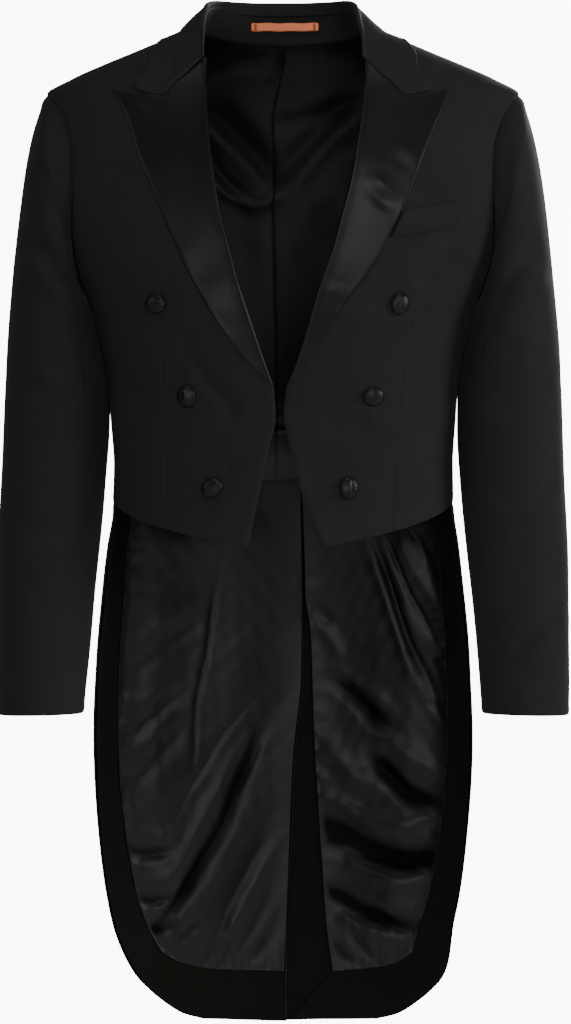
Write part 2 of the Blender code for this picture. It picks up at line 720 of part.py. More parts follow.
def build_collar(material):
    outer, inner = stand_grids()
    wall_object("collar_stand", outer, inner, 1, material)
    _, fold, edge = collar_lines()
    crest = fold + np.array([0.0, 0.0, CREST_RISE])
    shares = np.linspace(0, 1, COLLAR_ROWS + 1)
    gorge = np.array([((row[1] + row[2]) / 2, row[0] + COLLAR_END_GAP) for row in GORGE[:-1]])
    end_turns = resample(on_front(gorge), COLLAR_ROWS)
    end = body_point(end_turns[:, 0], end_turns[:, 1])
    end += COLLAR_EDGE_CLEAR * body_normal(end_turns[:, 0], end_turns[:, 1])
    end[0] = crest[-1]
    edge[-1] = end[-1]
    start = crest[0] + (edge[0] - crest[0]) * shares[:, None]
    half = patch(crest, edge, start, end)
    outward = unit(half * np.array([1.0, 1.0, 0.0]))
    half = half + FALL_BULGE * np.sin(math.pi * shares)[:, None, None] * outward
    half = outside_body(half, COLLAR_CLEAR)
    inner = mirrored_row(half)
    normals = grid_normals(inner)
    if np.sum(normals * inner * np.array([1, 1, 0])) < 0:
        normals = -normals
    wall_object("collar_fall", inner + WOOL * normals, inner, 1, material)


def build_welt(material):
    top = resample(on_front(WELT_TOP), WELT_COLUMNS)
    bottom = resample(on_front(WELT_BOTTOM), WELT_COLUMNS)
    left = resample((top[0], bottom[0]), 2)
    right = resample((top[-1], bottom[-1]), 2)
    cells = patch(top, bottom, left, right)
    body_panel("breast_welt", cells, 1, material, WELT_THICKNESS,
               WELT_THICKNESS + 2 * SEAM_GAP)


def build_button(name, x, z, side, material):
    """Covered dome, flat behind, turned about the cloth's normal."""
    turn = front_turn(x, z)
    normal = body_normal(turn, z)
    place = body_point(turn, z) + BUTTON_CLEAR * normal
    right = unit(np.cross(normal, np.array([0.0, 0.0, 1.0])))
    up = np.cross(right, normal)
    points = []
    for radius, height in BUTTON_PROFILE:
        for k in range(BUTTON_SIDES):
            angle = 2 * math.pi * k / BUTTON_SIDES
            spoke = math.cos(angle) * right + math.sin(angle) * up
            points.append(place + radius * spoke + height * normal)
    points.append(place + BUTTON_HEIGHT * normal)
    faces = [tuple(reversed(range(BUTTON_SIDES)))]
    for ring in range(len(BUTTON_PROFILE) - 1):
        for k in range(BUTTON_SIDES):
            a = ring * BUTTON_SIDES + k
            b = ring * BUTTON_SIDES + (k + 1) % BUTTON_SIDES
            faces.append((a, b, b + BUTTON_SIDES, a + BUTTON_SIDES))
    last = (len(BUTTON_PROFILE) - 1) * BUTTON_SIDES
    for k in range(BUTTON_SIDES):
        faces.append((last + k, last + (k + 1) % BUTTON_SIDES, len(points) - 1))
    points = np.array(points)
    points[:, 0] *= side
    mesh_object(name, points, faces, material)


def build_buttons(side, name, material):
    column = FRONT_COLUMNS.index("left" if side > 0 else "right")
    for number, row in enumerate(BUTTON_PLACES, start=1):
        build_button(f"button_{name}_{number}", row[column], row[0], side, material)


def build_loop(material):
    """Strap on the inside of the stand, made from the stand's own points."""
    outer, inner = stand_grids()
    inward = unit(inner - outer)
    middle = (inner.shape[1] - 1) / 2
    columns = middle + np.array(LOOP_COLUMNS)
    rows = (1 - np.array(LOOP_ROWS[::-1])) * STAND_ROWS

    def sample(grid, row, column):
        i = min(int(row), grid.shape[0] - 2)
        j = min(int(column), grid.shape[1] - 2)
        s, t = row - i, column - j
        upper = (1 - t) * grid[i, j] + t * grid[i, j + 1]
        lower = (1 - t) * grid[i + 1, j] + t * grid[i + 1, j + 1]
        return (1 - s) * upper + s * lower

    base = np.array([[sample(inner, row, column) for column in columns] for row in rows])
    away = np.array([[sample(inward, row, column) for column in columns] for row in rows])
    back = base + LOOP_CLEAR * away
    wall_object("hanger_loop", back + LOOP_THICKNESS * away, back, 1, material)


def build_back_lining(side, name, material):
    """Half of the back's lining, made from the back's own points down to the waist."""
    cells = back_cells(side)[:WAIST_ROW + 1]
    lift = -(WOOL + BACK_LINING_CLEAR) - fold_lift(cells, BACK_LINING_FOLDS)
    gaps = (BACK_LINING_MARGIN, BACK_LINING_MARGIN, SEAM_GAP / 2, ARMHOLE_MARGIN)
    body_panel("back_lining_" + name, cells, side, material, LINING, lift, gaps)


def tail_lining_cells(side):
    centre_rows = LEFT_LINING_CENTRE if side > 0 else RIGHT_LINING_CENTRE
    centre = resample(centre_rows, SKIRT_CELLS)
    edge = resample(LINING_FRONT_EDGE, SKIRT_CELLS)
    top = resample((edge[0], centre[0]), TAIL_LINING_COLUMNS)
    low = resample((LINING_CORNER, *LINING_HEM_MIDDLE, centre[-1]), TAIL_LINING_COLUMNS)
    return patch(top, low, edge, centre)


def build_tail_lining(side, name, material):
    folds = LEFT_TAIL_FOLDS if side > 0 else RIGHT_TAIL_FOLDS
    cells = tail_lining_cells(side)
    rise = fold_lift(cells, folds)
    inset = np.zeros(rise.shape)
    inset[1:-1, 1:-1] = 1.0
    lift = -(WOOL + LINING_CLEAR) - rise * inset
    body_panel("tail_lining_" + name, cells, side, material, LINING, lift)


def build_facing(side, name, material):
    """Wool facing inside the tail's front edge and hem, round the lining."""
    cells = tail_lining_cells(side)
    edge = cells[:, 0]
    low = cells[-1, 1:]
    inner = np.concatenate([edge, low])
    wool_front = resample(TAIL_FRONT_EDGE, len(edge) - 1)
    wool_hem = resample((*TAIL_HEM, (FACING_END_TURNS[name], HEM_Z)), len(low))
    wool = joined(wool_front, wool_hem)
    across = np.linspace(0, 1, FACING_COLUMNS + 1)[None, :, None]
    cells = (1 - across) * wool[:, None] + across * inner[:, None]
    gaps = (0.0, 0.0, 4 * SEAM_GAP, SEAM_GAP)
    body_panel("tail_facing_" + name, cells, side, material, LINING,
               -(WOOL + LINING_CLEAR), gaps)


def main():
    clear_scene()
    wool = cloth_material("black_wool", WOOL_COLOUR, 0.85)
    satin = cloth_material("black_satin", SATIN_COLOUR, 0.32)
    lining = cloth_material("black_lining", LINING_COLOUR, 0.40)
    orange = cloth_material("orange_ribbon", LOOP_COLOUR, 0.45)
    for side, name in ((1, "left"), (-1, "right")):
        build_body(side, name, wool)
        build_sleeve(side, name, wool)
        build_lapel(side, name, satin)
        build_buttons(side, name, satin)
        build_back_lining(side, name, lining)
        build_tail_lining(side, name, lining)
        build_facing(side, name, wool)
    build_collar(wool)
    build_welt(wool)
    build_loop(orange)


main()
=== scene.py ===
"""Looks of a black evening tailcoat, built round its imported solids.

Frame: metres, +Z up, the fronts face -Y, the wearer's left is +X. A place on the worn form is
its turn, 0 degrees at centre front, 90 at the side and 180 at centre back, and its height z.
"""

import math

import bpy
import numpy as np
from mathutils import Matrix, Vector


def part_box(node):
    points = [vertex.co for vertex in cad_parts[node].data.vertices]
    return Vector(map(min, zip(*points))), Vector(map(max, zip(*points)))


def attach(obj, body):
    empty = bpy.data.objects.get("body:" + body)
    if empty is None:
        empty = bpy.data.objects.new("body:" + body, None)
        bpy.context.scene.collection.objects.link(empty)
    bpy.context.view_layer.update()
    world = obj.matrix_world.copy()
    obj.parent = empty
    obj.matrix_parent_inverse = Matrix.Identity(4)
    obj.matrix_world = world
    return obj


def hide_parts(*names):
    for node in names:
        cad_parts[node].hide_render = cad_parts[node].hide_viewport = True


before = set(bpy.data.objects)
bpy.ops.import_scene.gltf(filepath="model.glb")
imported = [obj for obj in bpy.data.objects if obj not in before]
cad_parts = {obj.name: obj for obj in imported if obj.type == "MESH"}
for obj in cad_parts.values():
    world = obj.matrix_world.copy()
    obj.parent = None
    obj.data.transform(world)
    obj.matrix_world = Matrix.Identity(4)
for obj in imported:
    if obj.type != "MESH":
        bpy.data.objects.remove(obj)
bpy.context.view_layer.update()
UP = np.array([0.0, 0.0, 1.0])
LEVEL = np.array([1.0, 1.0, 0.0])

# Cloth thicknesses and clearances
WOOL = 0.0020
WOOL_SHELL = 0.0013
LINING = 0.0008
FACING = 0.0010
FACING_END = 0.0002
SEAM_LAP = 0.0003
LINING_RIM = 0.0003
SEAM_HOLD = 0.014
LINING_CLEAR = 0.0016
BACK_LINING_MARGIN = 0.0010
ARMHOLE_MARGIN = 0.0140
SATIN = 0.0009
SATIN_LIFT = 0.0016
SATIN_RIM = 0.0004
LAPEL_ROLL_RISE = 0.0032
LAPEL_EDGE_DIP = 0.0004
LAPEL_EDGE_WIDTH = 0.0012
LAPEL_HOLD = 0.006
LAPEL_TUCKS = (0.010, 0.005)
ROLL_COVER = 0.0040

# Worn form, as in the solids
ROUNDNESS = 2.3
BODY_COLUMNS = ("z", "half_width", "front_depth", "back_depth")
BODY_LEVELS = (
    (-1.050, 0.1990, 0.130, 0.124),
    (-0.800, 0.1970, 0.130, 0.120),
    (-0.700, 0.1955, 0.128, 0.117),
    (-0.626, 0.1920, 0.126, 0.113),
    (-0.558, 0.1859, 0.122, 0.106),
    (-0.513, 0.1813, 0.118, 0.098),
    (-0.468, 0.1751, 0.113, 0.088),
    (-0.430, 0.1749, 0.112, 0.082),
    (-0.385, 0.1779, 0.113, 0.080),
    (-0.345, 0.1803, 0.117, 0.084),
    (-0.318, 0.1840, 0.120, 0.089),
    (-0.296, 0.1893, 0.123, 0.093),
    (-0.270, 0.1976, 0.125, 0.098),
    (-0.255, 0.2035, 0.125, 0.100),
    (-0.240, 0.2120, 0.124, 0.102),
    (-0.210, 0.2280, 0.121, 0.105),
    (-0.170, 0.2395, 0.116, 0.107),
    (-0.130, 0.2445, 0.108, 0.106),
    (-0.100, 0.2455, 0.098, 0.104),
    (-0.070, 0.2445, 0.086, 0.100),
    (-0.047, 0.2430, 0.075, 0.097),
    (-0.031, 0.2173, 0.067, 0.094),
    (-0.014, 0.1790, 0.057, 0.091),
    (0.002, 0.1410, 0.047, 0.087),
    (0.030, 0.0780, 0.030, 0.078),
    (0.060, 0.0400, 0.020, 0.066),
)

# Heights and turns that the pieces share, as in the solids
NECK_SIDE_Z = 0.024
NECK_BACK_Z = 0.014
SHOULDER_Z = -0.047
ARMHOLE_LOW_Z = -0.255
ARMHOLE_FRONT = 0.062
ARMHOLE_BACK = 0.066
WAIST_SIDE = (78.0, -0.468)
WAIST_BACK = (163.0, -0.4525)
HEM_Z = -1.0155
BACK_HEM = (157.0, -1.012)
TAIL_CORNER = (138.0, -0.984)
LINING_CORNER = (141.0, -0.940)
LINING_HEM_Z = -0.9625
LINING_HEM_MIDDLE = ((150.0, -0.953), (162.0, -0.960))
TAIL_LINING_TOP = (114.0, -0.4600)
LINING_SEAM_RISE = 0.0098
CENTRE_SEAM_SHIFT = 1.5
LINING_FULLNESS = 0.0125
BACK_LINING_FULLNESS = 0.0065
BACK_LINING_HOLD = 0.035
FOLD_HOLD = 0.012
SEAM_SINK = 0.0006
SEAM_SINK_WIDTH = 0.0015
CENTRE_SINK = 0.0008
CENTRE_SINK_WIDTH = 0.0012
BACK_LINING_FLOOR = (0.0002, 0.0010)
TAIL_LINING_FLOOR = (0.0003, 0.0030)
FACING_INSET = 0.0012
FACING_FLUSH_REACH = 0.060
FACING_EDGE_RISE = 0.0008
FACING_EDGE_WIDTH = 0.003
INNER_SEAM_SHARE = 0.25
# Below this height the back lining takes a lighter copy of its satin: painted light where the fronts shade
# it.
PAINTED_LIGHT_BELOW_Z = -0.3885
NECK_BACK_SEAM = ((0.045, 0.0160), (0.078, 0.0205))
FRONT_NECK = ((0.087, 0.012), (0.0835, -0.002))

# Front edges: distance from the centre plane
FRONT_COLUMNS = ("z", "right", "left")
ROLL_LINE = (
    (-0.016, 0.0775, 0.0825),
    (-0.026, 0.0775, 0.0824),
    (-0.036, 0.0775, 0.0821),
    (-0.047, 0.0773, 0.0814),
    (-0.058, 0.0769, 0.0805),
    (-0.069, 0.0764, 0.0794),
    (-0.086, 0.0752, 0.0773),
    (-0.105, 0.0733, 0.0744),
    (-0.140, 0.0685, 0.0685),
    (-0.176, 0.0630, 0.0590),
    (-0.210, 0.0538, 0.0500),
    (-0.245, 0.0448, 0.0380),
    (-0.275, 0.0350, 0.0290),
    (-0.310, 0.0235, 0.0185),
    (-0.348, 0.0103, 0.0050),
)
FRONT_EDGE = (
    (-0.348, 0.0103, 0.0050),
    (-0.380, 0.0084, 0.0020),
    (-0.419, 0.0169, 0.0101),
    (-0.463, 0.0260, 0.0212),
    (-0.510, 0.0363, 0.0415),
)
LAPEL_EDGE = (
    (-0.048, 0.1734, 0.1665),
    (-0.070, 0.1612, 0.1597),
    (-0.092, 0.1530, 0.1505),
    (-0.120, 0.1440, 0.1400),
    (-0.150, 0.1313, 0.1290),
    (-0.178, 0.1203, 0.1180),
    (-0.205, 0.1085, 0.1045),
    (-0.235, 0.0950, 0.0865),
    (-0.265, 0.0790, 0.0635),
    (-0.290, 0.0630, 0.0480),
    (-0.315, 0.0455, 0.0310),
    (-0.344, 0.0175, 0.0120),
)
GORGE = (
    (-0.016, 0.0775, 0.0825),
    (-0.036, 0.1005, 0.1025),
    (-0.055, 0.1233, 0.1270),
)
PEAK = (
    (-0.055, 0.1233, 0.1270),
    (-0.050, 0.1480, 0.1480),
    (-0.048, 0.1734, 0.1665),
)
DART = (
    (-0.020, 0.1250, 0.1300),
    (-0.273, 0.1240, 0.1306),
    (-0.355, 0.1212, 0.1188),
    (-0.456, 0.1177, 0.1117),
    (-0.520, 0.1160, 0.1090),
)
DART_TOP_Z = -0.268

# Seams and edges of the tails, as turn and height
SIDE_SEAM = ((77.0, -0.300), (78.0, -0.380), WAIST_SIDE)
SIDE_BACK_SEAM = ((122.0, -0.280), (140.0, -0.340), (155.0, -0.400), WAIST_BACK)
SKIRT_SEAM = (WAIST_BACK, (161.0, -0.600), (159.0, -0.800), BACK_HEM)
TAIL_FRONT_EDGE = (
    (80.0, -0.4685),
    (83.0, -0.530),
    (86.0, -0.600),
    (90.5, -0.690),
    (96.0, -0.745),
    (103.5, -0.810),
    (113.0, -0.880),
    (122.0, -0.932),
    (130.0, -0.964),
    TAIL_CORNER,
)
TAIL_HEM = (TAIL_CORNER, (145.0, -0.998), (150.0, -1.006), BACK_HEM)
RIGHT_VENT_EDGE = (
    (184.4, -0.480),
    (184.6, -0.560),
    (184.4, -0.650),
    (182.4, -0.735),
    (181.5, -0.830),
    (180.5, -0.900),
    (180.4, HEM_Z),
)
LEFT_VENT_EDGE = ((184.6, -0.480), (184.6, -0.740), (184.6, HEM_Z))
LINING_FRONT_EDGE = (
    TAIL_LINING_TOP,
    (115.5, -0.560),
    (117.0, -0.690),
    (118.5, -0.745),
    (124.0, -0.820),
    (131.0, -0.885),
    LINING_CORNER,
)
RIGHT_LINING_CENTRE = ((184.3, -0.4410), (184.4, -0.500), (184.4, -0.560),
                       (184.0, -0.650), (182.0, -0.735), (181.1, -0.830), (180.1, LINING_HEM_Z))
LEFT_LINING_CENTRE = ((175.6, -0.4410), (175.3, -0.455), (174.9, -0.480), (174.7, -0.520), (174.6, -0.560),
                      (173.2, -0.605), (172.6, -0.700), (170.8, -0.820), (168.2, LINING_HEM_Z))
FACING_END_TURNS = {"left": 178.6, "right": 180.2}
VENT_LIFT = WOOL + 0.0010
VENT_LIFT_TURNS = (165.0, 173.0)
VENT_LIFT_LEVELS = (0.380, 0.440)
METRES_PER_DEGREE = 0.0024

# Sleeve rings below the armhole, hinged about the underarm
SLEEVE_COLUMNS = ("outer_x", "outer_z", "inner_x", "inner_z", "half_depth", "centre_y")
SLEEVE_RINGS = (
    (0.2480, -0.059, 0.2055, -0.2565, 0.0710, 0.002),
    (0.2575, -0.090, 0.1990, -0.262, 0.0745, 0.002),
    (0.2660, -0.132, 0.1952, -0.270, 0.0760, 0.002),
    (0.2725, -0.180, 0.1908, -0.281, 0.0755, 0.001),
    (0.2783, -0.236, 0.1875, -0.296, 0.0735, 0.000),
    (0.2830, -0.290, 0.1826, -0.318, 0.0705, -0.001),
    (0.2855, -0.342, 0.1795, -0.346, 0.0670, -0.002),
    (0.2880, -0.395, 0.1787, -0.395, 0.0635, -0.004),
    (0.2900, -0.450, 0.1826, -0.450, 0.0600, -0.008),
    (0.2922, -0.515, 0.1882, -0.515, 0.0565, -0.014),
    (0.2925, -0.580, 0.1946, -0.580, 0.0530, -0.022),
    (0.2925, -0.640, 0.2000, -0.640, 0.0500, -0.030),
    (0.2915, -0.6815, 0.2032, -0.6800, 0.0482, -0.0355),
)
SLEEVE_ROUNDNESS = 2.2
SLEEVE_SIDES = 20
FRONT_SLEEVE_SEAM = 7
BACK_SLEEVE_SEAM = 15

# Collar: the fold as x, y and z, and the outer edge of the fall, from centre back to the front
COLLAR_FOLD = (
    (0.0000, 0.0840, 0.0555),
    (0.0220, 0.0828, 0.0553),
    (0.0460, 0.0740, 0.0548),
    (0.0650, 0.0540, 0.0535),
    (0.0785, 0.0080, 0.0450),
    (0.0815, -0.0290, 0.0190),
    (0.0805, -0.0600, -0.0125),
)
COLLAR_OUTER_BACK = ((0.000, 0.0080), (0.035, 0.0085), (0.068, 0.0095), (0.097, 0.0100))
COLLAR_OUTER_SIDE_Z = 0.0102
COLLAR_OUTER_FRONT = ((0.1365, -0.0225), (0.1500, -0.0470))
COLLAR_END_GAP = 0.0005
COLLAR_EDGE_LIFT = 0.0012
CREST_RADIUS = 0.0028
FALL_BULGE = 0.0036
FALL_LEAN = 0.0024
CREST_END_SHARE = 0.30
CREST_RISE = 0.0004
FALL_TUCKS = (0.0110, 0.0104, 0.0060, 0.0020)
CORNER_EASE = {1: 0.0125, -1: -0.0035}
STAND_DROP = 0.0028
STAND_INSET = 0.965
COLLAR_CELLS = 14
STAND_ROWS = 16

# Hanger loop: its ends and edges within the solid's box, its rows on the stand, and its bow
LOOP_INSETS = {"right": 0.0028, "left": 0.0036, "low": 0.0014, "both": 0.0036}
LOOP_SHARES = (0.36, 0.62)
LOOP_CLEAR = 0.0012
LOOP_BOW = 0.0016
LOOP_RIPPLE = 0.0003
RIBBON = 0.0009
TACK_INSET = 0.0035
TACK_RISE = 0.0004
TACK_STEPS = 28
TACK_SIDES = 8
TACK_RADII = (0.0009, 0.00035, 0.00012)
TACK_SPREAD = 1.2
TACK_SINK = 0.0002

# Buttons on each front, top to bottom: height, distances from the centre plane, ridge angles
BUTTON_COLUMNS = ("z", "right", "left", "right_ridge", "left_ridge")
BUTTON_PLACES = (
    (-0.2670, 0.1272, 0.1167, 8.0, 78.0),
    (-0.3600, 0.0962, 0.0903, 84.0, 4.0),
    (-0.4518, 0.0710, 0.0657, 150.0, 88.0),
)
WELT_TOP = ((0.1212, -0.1750), (0.1795, -0.1645))
WELT_BOTTOM = ((0.1095, -0.1998), (0.1805, -0.1875))
WELT_THICKNESS = 0.0036
WELT_CLEAR = 0.0004
WELT_FOOT_DIP = 0.0010
WELT_FOOT_WIDTH = 0.002

# Button: rings of radius and height, its top, and the pinched ridge across it
BUTTON_PROFILE = (
    (0.0062, 0.0000),
    (0.0085, 0.0002),
    (0.0099, 0.0008),
    (0.0104, 0.0018),
    (0.0103, 0.0028),
    (0.0098, 0.0036),
    (0.0090, 0.0043),
    (0.0078, 0.0050),
    (0.0062, 0.0056),
    (0.0045, 0.0060),
    (0.0028, 0.0062),
    (0.0012, 0.0063),
)
BUTTON_TOP = 0.0073
BUTTON_CLEAR = 0.0004
BUTTON_SPOKES = 64
BUTTON_LENGTHWISE = 1.08
BUTTON_CROSSWISE = 0.92
BUTTON_WOBBLE = 0.012
RIDGE_HEIGHT = 0.0010
RIDGE_WIDTH = 0.0014
FLUTE_HEIGHT = 0.0002
FLUTES = 16

# Waves of cloth that is not quite smooth: size, height and seed
WAVES = {
    "front": (0.11, 0.0013, 3),
    "side_body": (0.10, 0.0010, 11),
    "back": (0.12, 0.0010, 21),
    "skirt": (0.12, 0.0010, 31),
    "sleeve": (0.12, 0.0012, 41),
    "lapel": (0.06, 0.0006, 51),
    "collar_stand": (0.05, 0.0003, 61),
    "collar_fall": (0.06, 0.0005, 62),
    "breast_welt": (0.04, 0.0002, 63),
    "back_lining": (0.05, 0.0010, 72),
    "tail_lining": (0.085, 0.0026, 79),
    "tail_lining_small": (0.022, 0.0006, 89),
    "tail_folds": (0.080, 0.0034, 91),
    "tail_facing": (0.05, 0.0004, 81),
}

# Gathers that run in from sewn borders: pitch, height, reach and seed
PUCKERS = {
    "neck": (0.010, 0.0034, 0.010, 71),
    "tail_front": (0.017, 0.0022, 0.012, 73),
    "tail_hem": (0.014, 0.0026, 0.020, 75),
    "tail_centre_left": (0.021, 0.0024, 0.009, 77),
    "tail_centre_right": (0.021, 0.0008, 0.009, 77),
}

# Soft troughs and ridges in millimetres, seen from the front: start, middle and end, then width,
# height and, where it isn't 1, how many times wider the side above, or right of a falling one, is
CREASE_COLUMNS = ("x_a", "z_a", "x_m", "z_m", "x_b", "z_b", "width", "height")
TAIL_CREASES_LEFT = (
    (92, -486, 126, -571, 173, -696, 3.5, -5.5, 1.4),
    (82, -486, 116, -571, 165, -696, 6, 2.4),
    (107, -489, 139, -554, 167, -618, 3, -4),
    (128, -479, 153, -518, 173, -560, 3, -3.6),
    (118, -483, 146, -536, 169, -589, 5, 1.6),
    (142, -495, 160, -542, 173, -583, 4, -2.4),
    (30, -578, 45, -602, 67, -639, 8, 2.6),
    (43, -649, 79, -668, 118, -709, 8, -9, 1.3),
    (38, -639, 78, -655, 125, -691, 8, 3.4),
    (89, -718, 122, -759, 177, -789, 9, -10.5, 1.2),
    (101, -700, 143, -735, 180, -756, 9, 3.6),
    (34, -703, 60, -738, 107, -771, 12, 3.4),
    (24, -762, 89, -798, 189, -796, 9, 4.6),
    (14, -771, 82, -830, 204, -832, 13, -11.5, 1.2),
    (45, -825, 101, -856, 177, -857, 11, 4),
    (24, -860, 78, -894, 152, -916, 9, -10, 1.2),
    (48, -897, 94, -918, 143, -934, 9, 3.4),
    (50, -922, 61, -941, 79, -957, 5, -6),
    (70, -911, 85, -935, 102, -950, 5, -4.5),
    (89, -924, 107, -941, 125, -951, 6, 2.4),
    (155, -618, 167, -645, 176, -665, 5, -3.5),
    (157, -674, 168, -684, 177, -700, 5, -3.5),
    (148, -801, 165, -813, 177, -823, 6, -3.5),
    (31, -562, 40, -580, 52, -596, 5, -3.5),
    (33, -818, 54, -829, 72, -853, 6, -3),
)
TAIL_CREASES_RIGHT = (
    (-64, -513, -84, -618, -103, -759, 3.2, -2.6),
    (-74, -524, -91, -618, -110, -747, 8, 1.2),
    (11, -639, -56, -747, -138, -894, 9.5, 4.2),
    (-17, -677, -83, -834, -165, -944, 5.5, -7.4, 1.5),
    (26, -625, -24, -700, -71, -788, 13, -3.6),
    (-1, -642, -63, -706, -129, -823, 5, -1.9),
    (-28, -718, -78, -818, -133, -911, 14, -2.4, 1.6),
    (-10, -700, -56, -788, -111, -888, 6, 2.4),
    (-1, -771, -47, -847, -92, -918, 10, -3),
    (-174, -649, -139, -596, -87, -562, 14, 1.6),
    (-171, -667, -135, -616, -84, -587, 10, -2.4),
    (-177, -707, -148, -672, -104, -642, 12, 1.8),
    (-176, -724, -145, -689, -103, -660, 8, -3),
    (-178, -757, -148, -718, -110, -677, 12, 1.8),
    (-177, -774, -142, -735, -103, -694, 9, -2.8),
    (-171, -804, -138, -771, -103, -724, 14, 1.4),
    (-180, -813, -153, -834, -116, -829, 7, -6),
    (-174, -794, -145, -818, -109, -794, 11, 2),
    (-173, -860, -148, -883, -116, -877, 7, -6.4),
    (-170, -841, -143, -860, -110, -847, 9, 2),
    (-163, -896, -140, -917, -115, -915, 7, -6),
    (-7, -801, -44, -866, -87, -944, 8, -4),
    (1, -848, -27, -901, -54, -950, 7, -4),
    (3, -813, -34, -877, -70, -948, 8, 2.4),
    (3, -883, -13, -918, -28, -950, 6, -3.4),
    (-58, -918, -62, -938, -64, -957, 4, -4.5),
    (-91, -901, -103, -918, -117, -934, 6, -4),
    (-21, -924, -27, -941, -31, -956, 5, -3.4),
    (-78, -932, -81, -944, -84, -956, 4, -3),
    (-47, -888, -56, -911, -65, -947, 6, 1.8),
)
BACK_LINING_CREASES = (
    (-84, -13, -49, -1, -14, 9, 9, -2.2),
    (3, 13, -6, -13, -13, -36, 3, -3, 0.8),
    (-92, -43, -44, -81, -5, -140, 11, -6.2, 1.5),
    (-92, -63, -48, -100, -14, -134, 9, 2.6),
    (-90, -75, -63, -124, -36, -146, 9, -3.4, 0.8),
    (-88, -90, -56, -143, -28, -154, 6, 3),
    (-46, -154, -22, -151, -1, -136, 8, 3),
    (-14, -69, 30, -57, 80, -36, 8, -2.6),
    (0, -146, 32, -104, 90, -48, 12, 3.6),
    (-2, -128, 24, -90, 76, -40, 12, -4),
    (2, -166, 35, -140, 80, -104, 16, 1.6),
    (4, -215, 30, -185, 66, -150, 14, -2),
    (-60, -385, 0, -387, 60, -384, 6, -5, 0.7),
    (-60, -371, 0, -373, 60, -370, 8, 3),
)
FRONT_CREASES = (
    (-105, -303, -86, -330, -68, -356, 7.2, -2.5),
    (-86, -333, -66, -357, -44, -384, 8.1, -3.4),
    (-98, -326, -78, -351, -56, -378, 8.1, 2.1),
    (-64, -419, -57, -426, -50, -434, 3.6, -1.7),
    (133, -252, 154, -234, 178, -213, 10.8, -3.8),
    (140, -272, 160, -252, 182, -232, 10.8, 2.5),
    (112, -429, 132, -408, 155, -386, 9, -2.5),
    (60, -372, 78, -372, 96, -384, 9, 2.1),
    (-180, -330, -150, -352, -128, -378, 10.8, -2.5),
    (166, -330, 145, -355, 128, -384, 10.8, -2.1),
)
LAPEL_CREASES = (
    (82, -149, 100, -164, 118, -177, 7, -1.8, 1.2),
    (83, -134, 99, -149, 114, -165, 8, 1.9),
    (108, -44, 124, -53, 142, -62, 4, -0.4),
    (112, -56, 128, -63, 146, -72, 4.5, 0.4),
    (102, -100, 122, -110, 140, -122, 7, 0.5),
    (100, -116, 117, -125, 134, -136, 6, -0.5),
    (36, -238, 53, -246, 72, -252, 5.5, -0.6),
    (36, -250, 54, -258, 68, -266, 6.5, 0.6),
    (-166, -58, -148, -70, -124, -86, 8, 0.7),
)
SLEEVE_CREASES = (
    (-262, -190, -236, -218, -205, -252, 9.3, -6),
    (-268, -212, -242, -238, -210, -272, 10.2, 4),
    (-255, -131, -238, -136, -218, -138, 5.9, -2.8),
    (-280, -330, -250, -352, -205, -366, 10.2, -4.4),
    (-276, -420, -240, -436, -205, -440, 11, 2.8),
    (-284, -470, -250, -492, -214, -500, 9.3, -2.8),
    (262, -205, 238, -232, 208, -262, 9.3, -4.8),
    (270, -236, 244, -262, 212, -288, 10.2, 3.2),
    (282, -330, 250, -356, 205, -372, 10.2, -3.6),
    (286, -560, 262, -590, 232, -612, 6.8, -4),
    (290, -578, 268, -606, 238, -628, 6.8, 2.8),
    (284, -440, 250, -462, 214, -468, 10.2, -2.4),
)
SLEEVE_BACK_CREASES = (
    (-268, -330, -236, -352, -196, -356, 11, -3),
    (-276, -368, -240, -390, -196, -388, 11, -2.6),
    (-272, -350, -238, -372, -196, -372, 9, 2),
    (-262, -205, -240, -232, -215, -246, 12, -2.4),
    (270, -322, 238, -346, 198, -352, 11, -2.8),
    (278, -362, 240, -384, 198, -386, 11, -2.8),
    (274, -342, 238, -366, 198, -368, 9, 2),
    (260, -215, 240, -238, 214, -250, 12, -2.2),
)
BACK_CREASES = (
    (-190, -210, -130, -190, -70, -196, 14, -1.6),
    (190, -205, 125, -188, 66, -200, 14, -1.6),
    (-165, -395, -110, -410, -55, -405, 10, -1.6),
    (165, -385, 115, -402, 60, -400, 10, -1.6),
    (-150, -420, -100, -432, -50, -426, 9, 1.2),
    (150, -412, 100, -426, 52, -420, 9, 1.2),
    (-120, -30, -70, -40, -20, -34, 12, -1.2),
    (120, -30, 70, -40, 20, -34, 12, -1.2),
    (-120, -560, -110, -680, -85, -820, 18, -2.2),
    (115, -550, 118, -690, 90, -850, 18, -2.2),
    (-150, -620, -140, -740, -120, -860, 16, 1.8),
    (152, -600, 146, -720, 125, -850, 16, 1.8),
)


# The worn form

def smooth_value(keys, values, at):
    """Smooth curve through the keys that never overshoots them."""
    keys = np.asarray(keys, float)
    values = np.asarray(values, float)
    at = np.clip(np.asarray(at, float), keys[0], keys[-1])
    steps = np.diff(keys)
    slopes = np.diff(values) / steps
    tangents = np.zeros(len(keys))
    product = slopes[:-1] * slopes[1:]
    total = np.where(product > 0, slopes[:-1] + slopes[1:], 1.0)
    tangents[1:-1] = np.where(product > 0, 2 * product / total, 0.0)
    tangents[0] = slopes[0]
    tangents[-1] = slopes[-1]
    i = np.clip(np.searchsorted(keys, at) - 1, 0, len(steps) - 1)
    t = (at - keys[i]) / steps[i]
    start = (1 + 2 * t) * (1 - t) ** 2 * values[i] + t * (1 - t) ** 2 * steps[i] * tangents[i]
    end = t * t * (3 - 2 * t) * values[i + 1] - t * t * (1 - t) * steps[i] * tangents[i + 1]
    return start + end


def smooth_step(low, high, at):
    t = np.clip((np.asarray(at, float) - low) / (high - low), 0.0, 1.0)
    return t * t * (3 - 2 * t)


LEVELS = np.array(BODY_LEVELS)


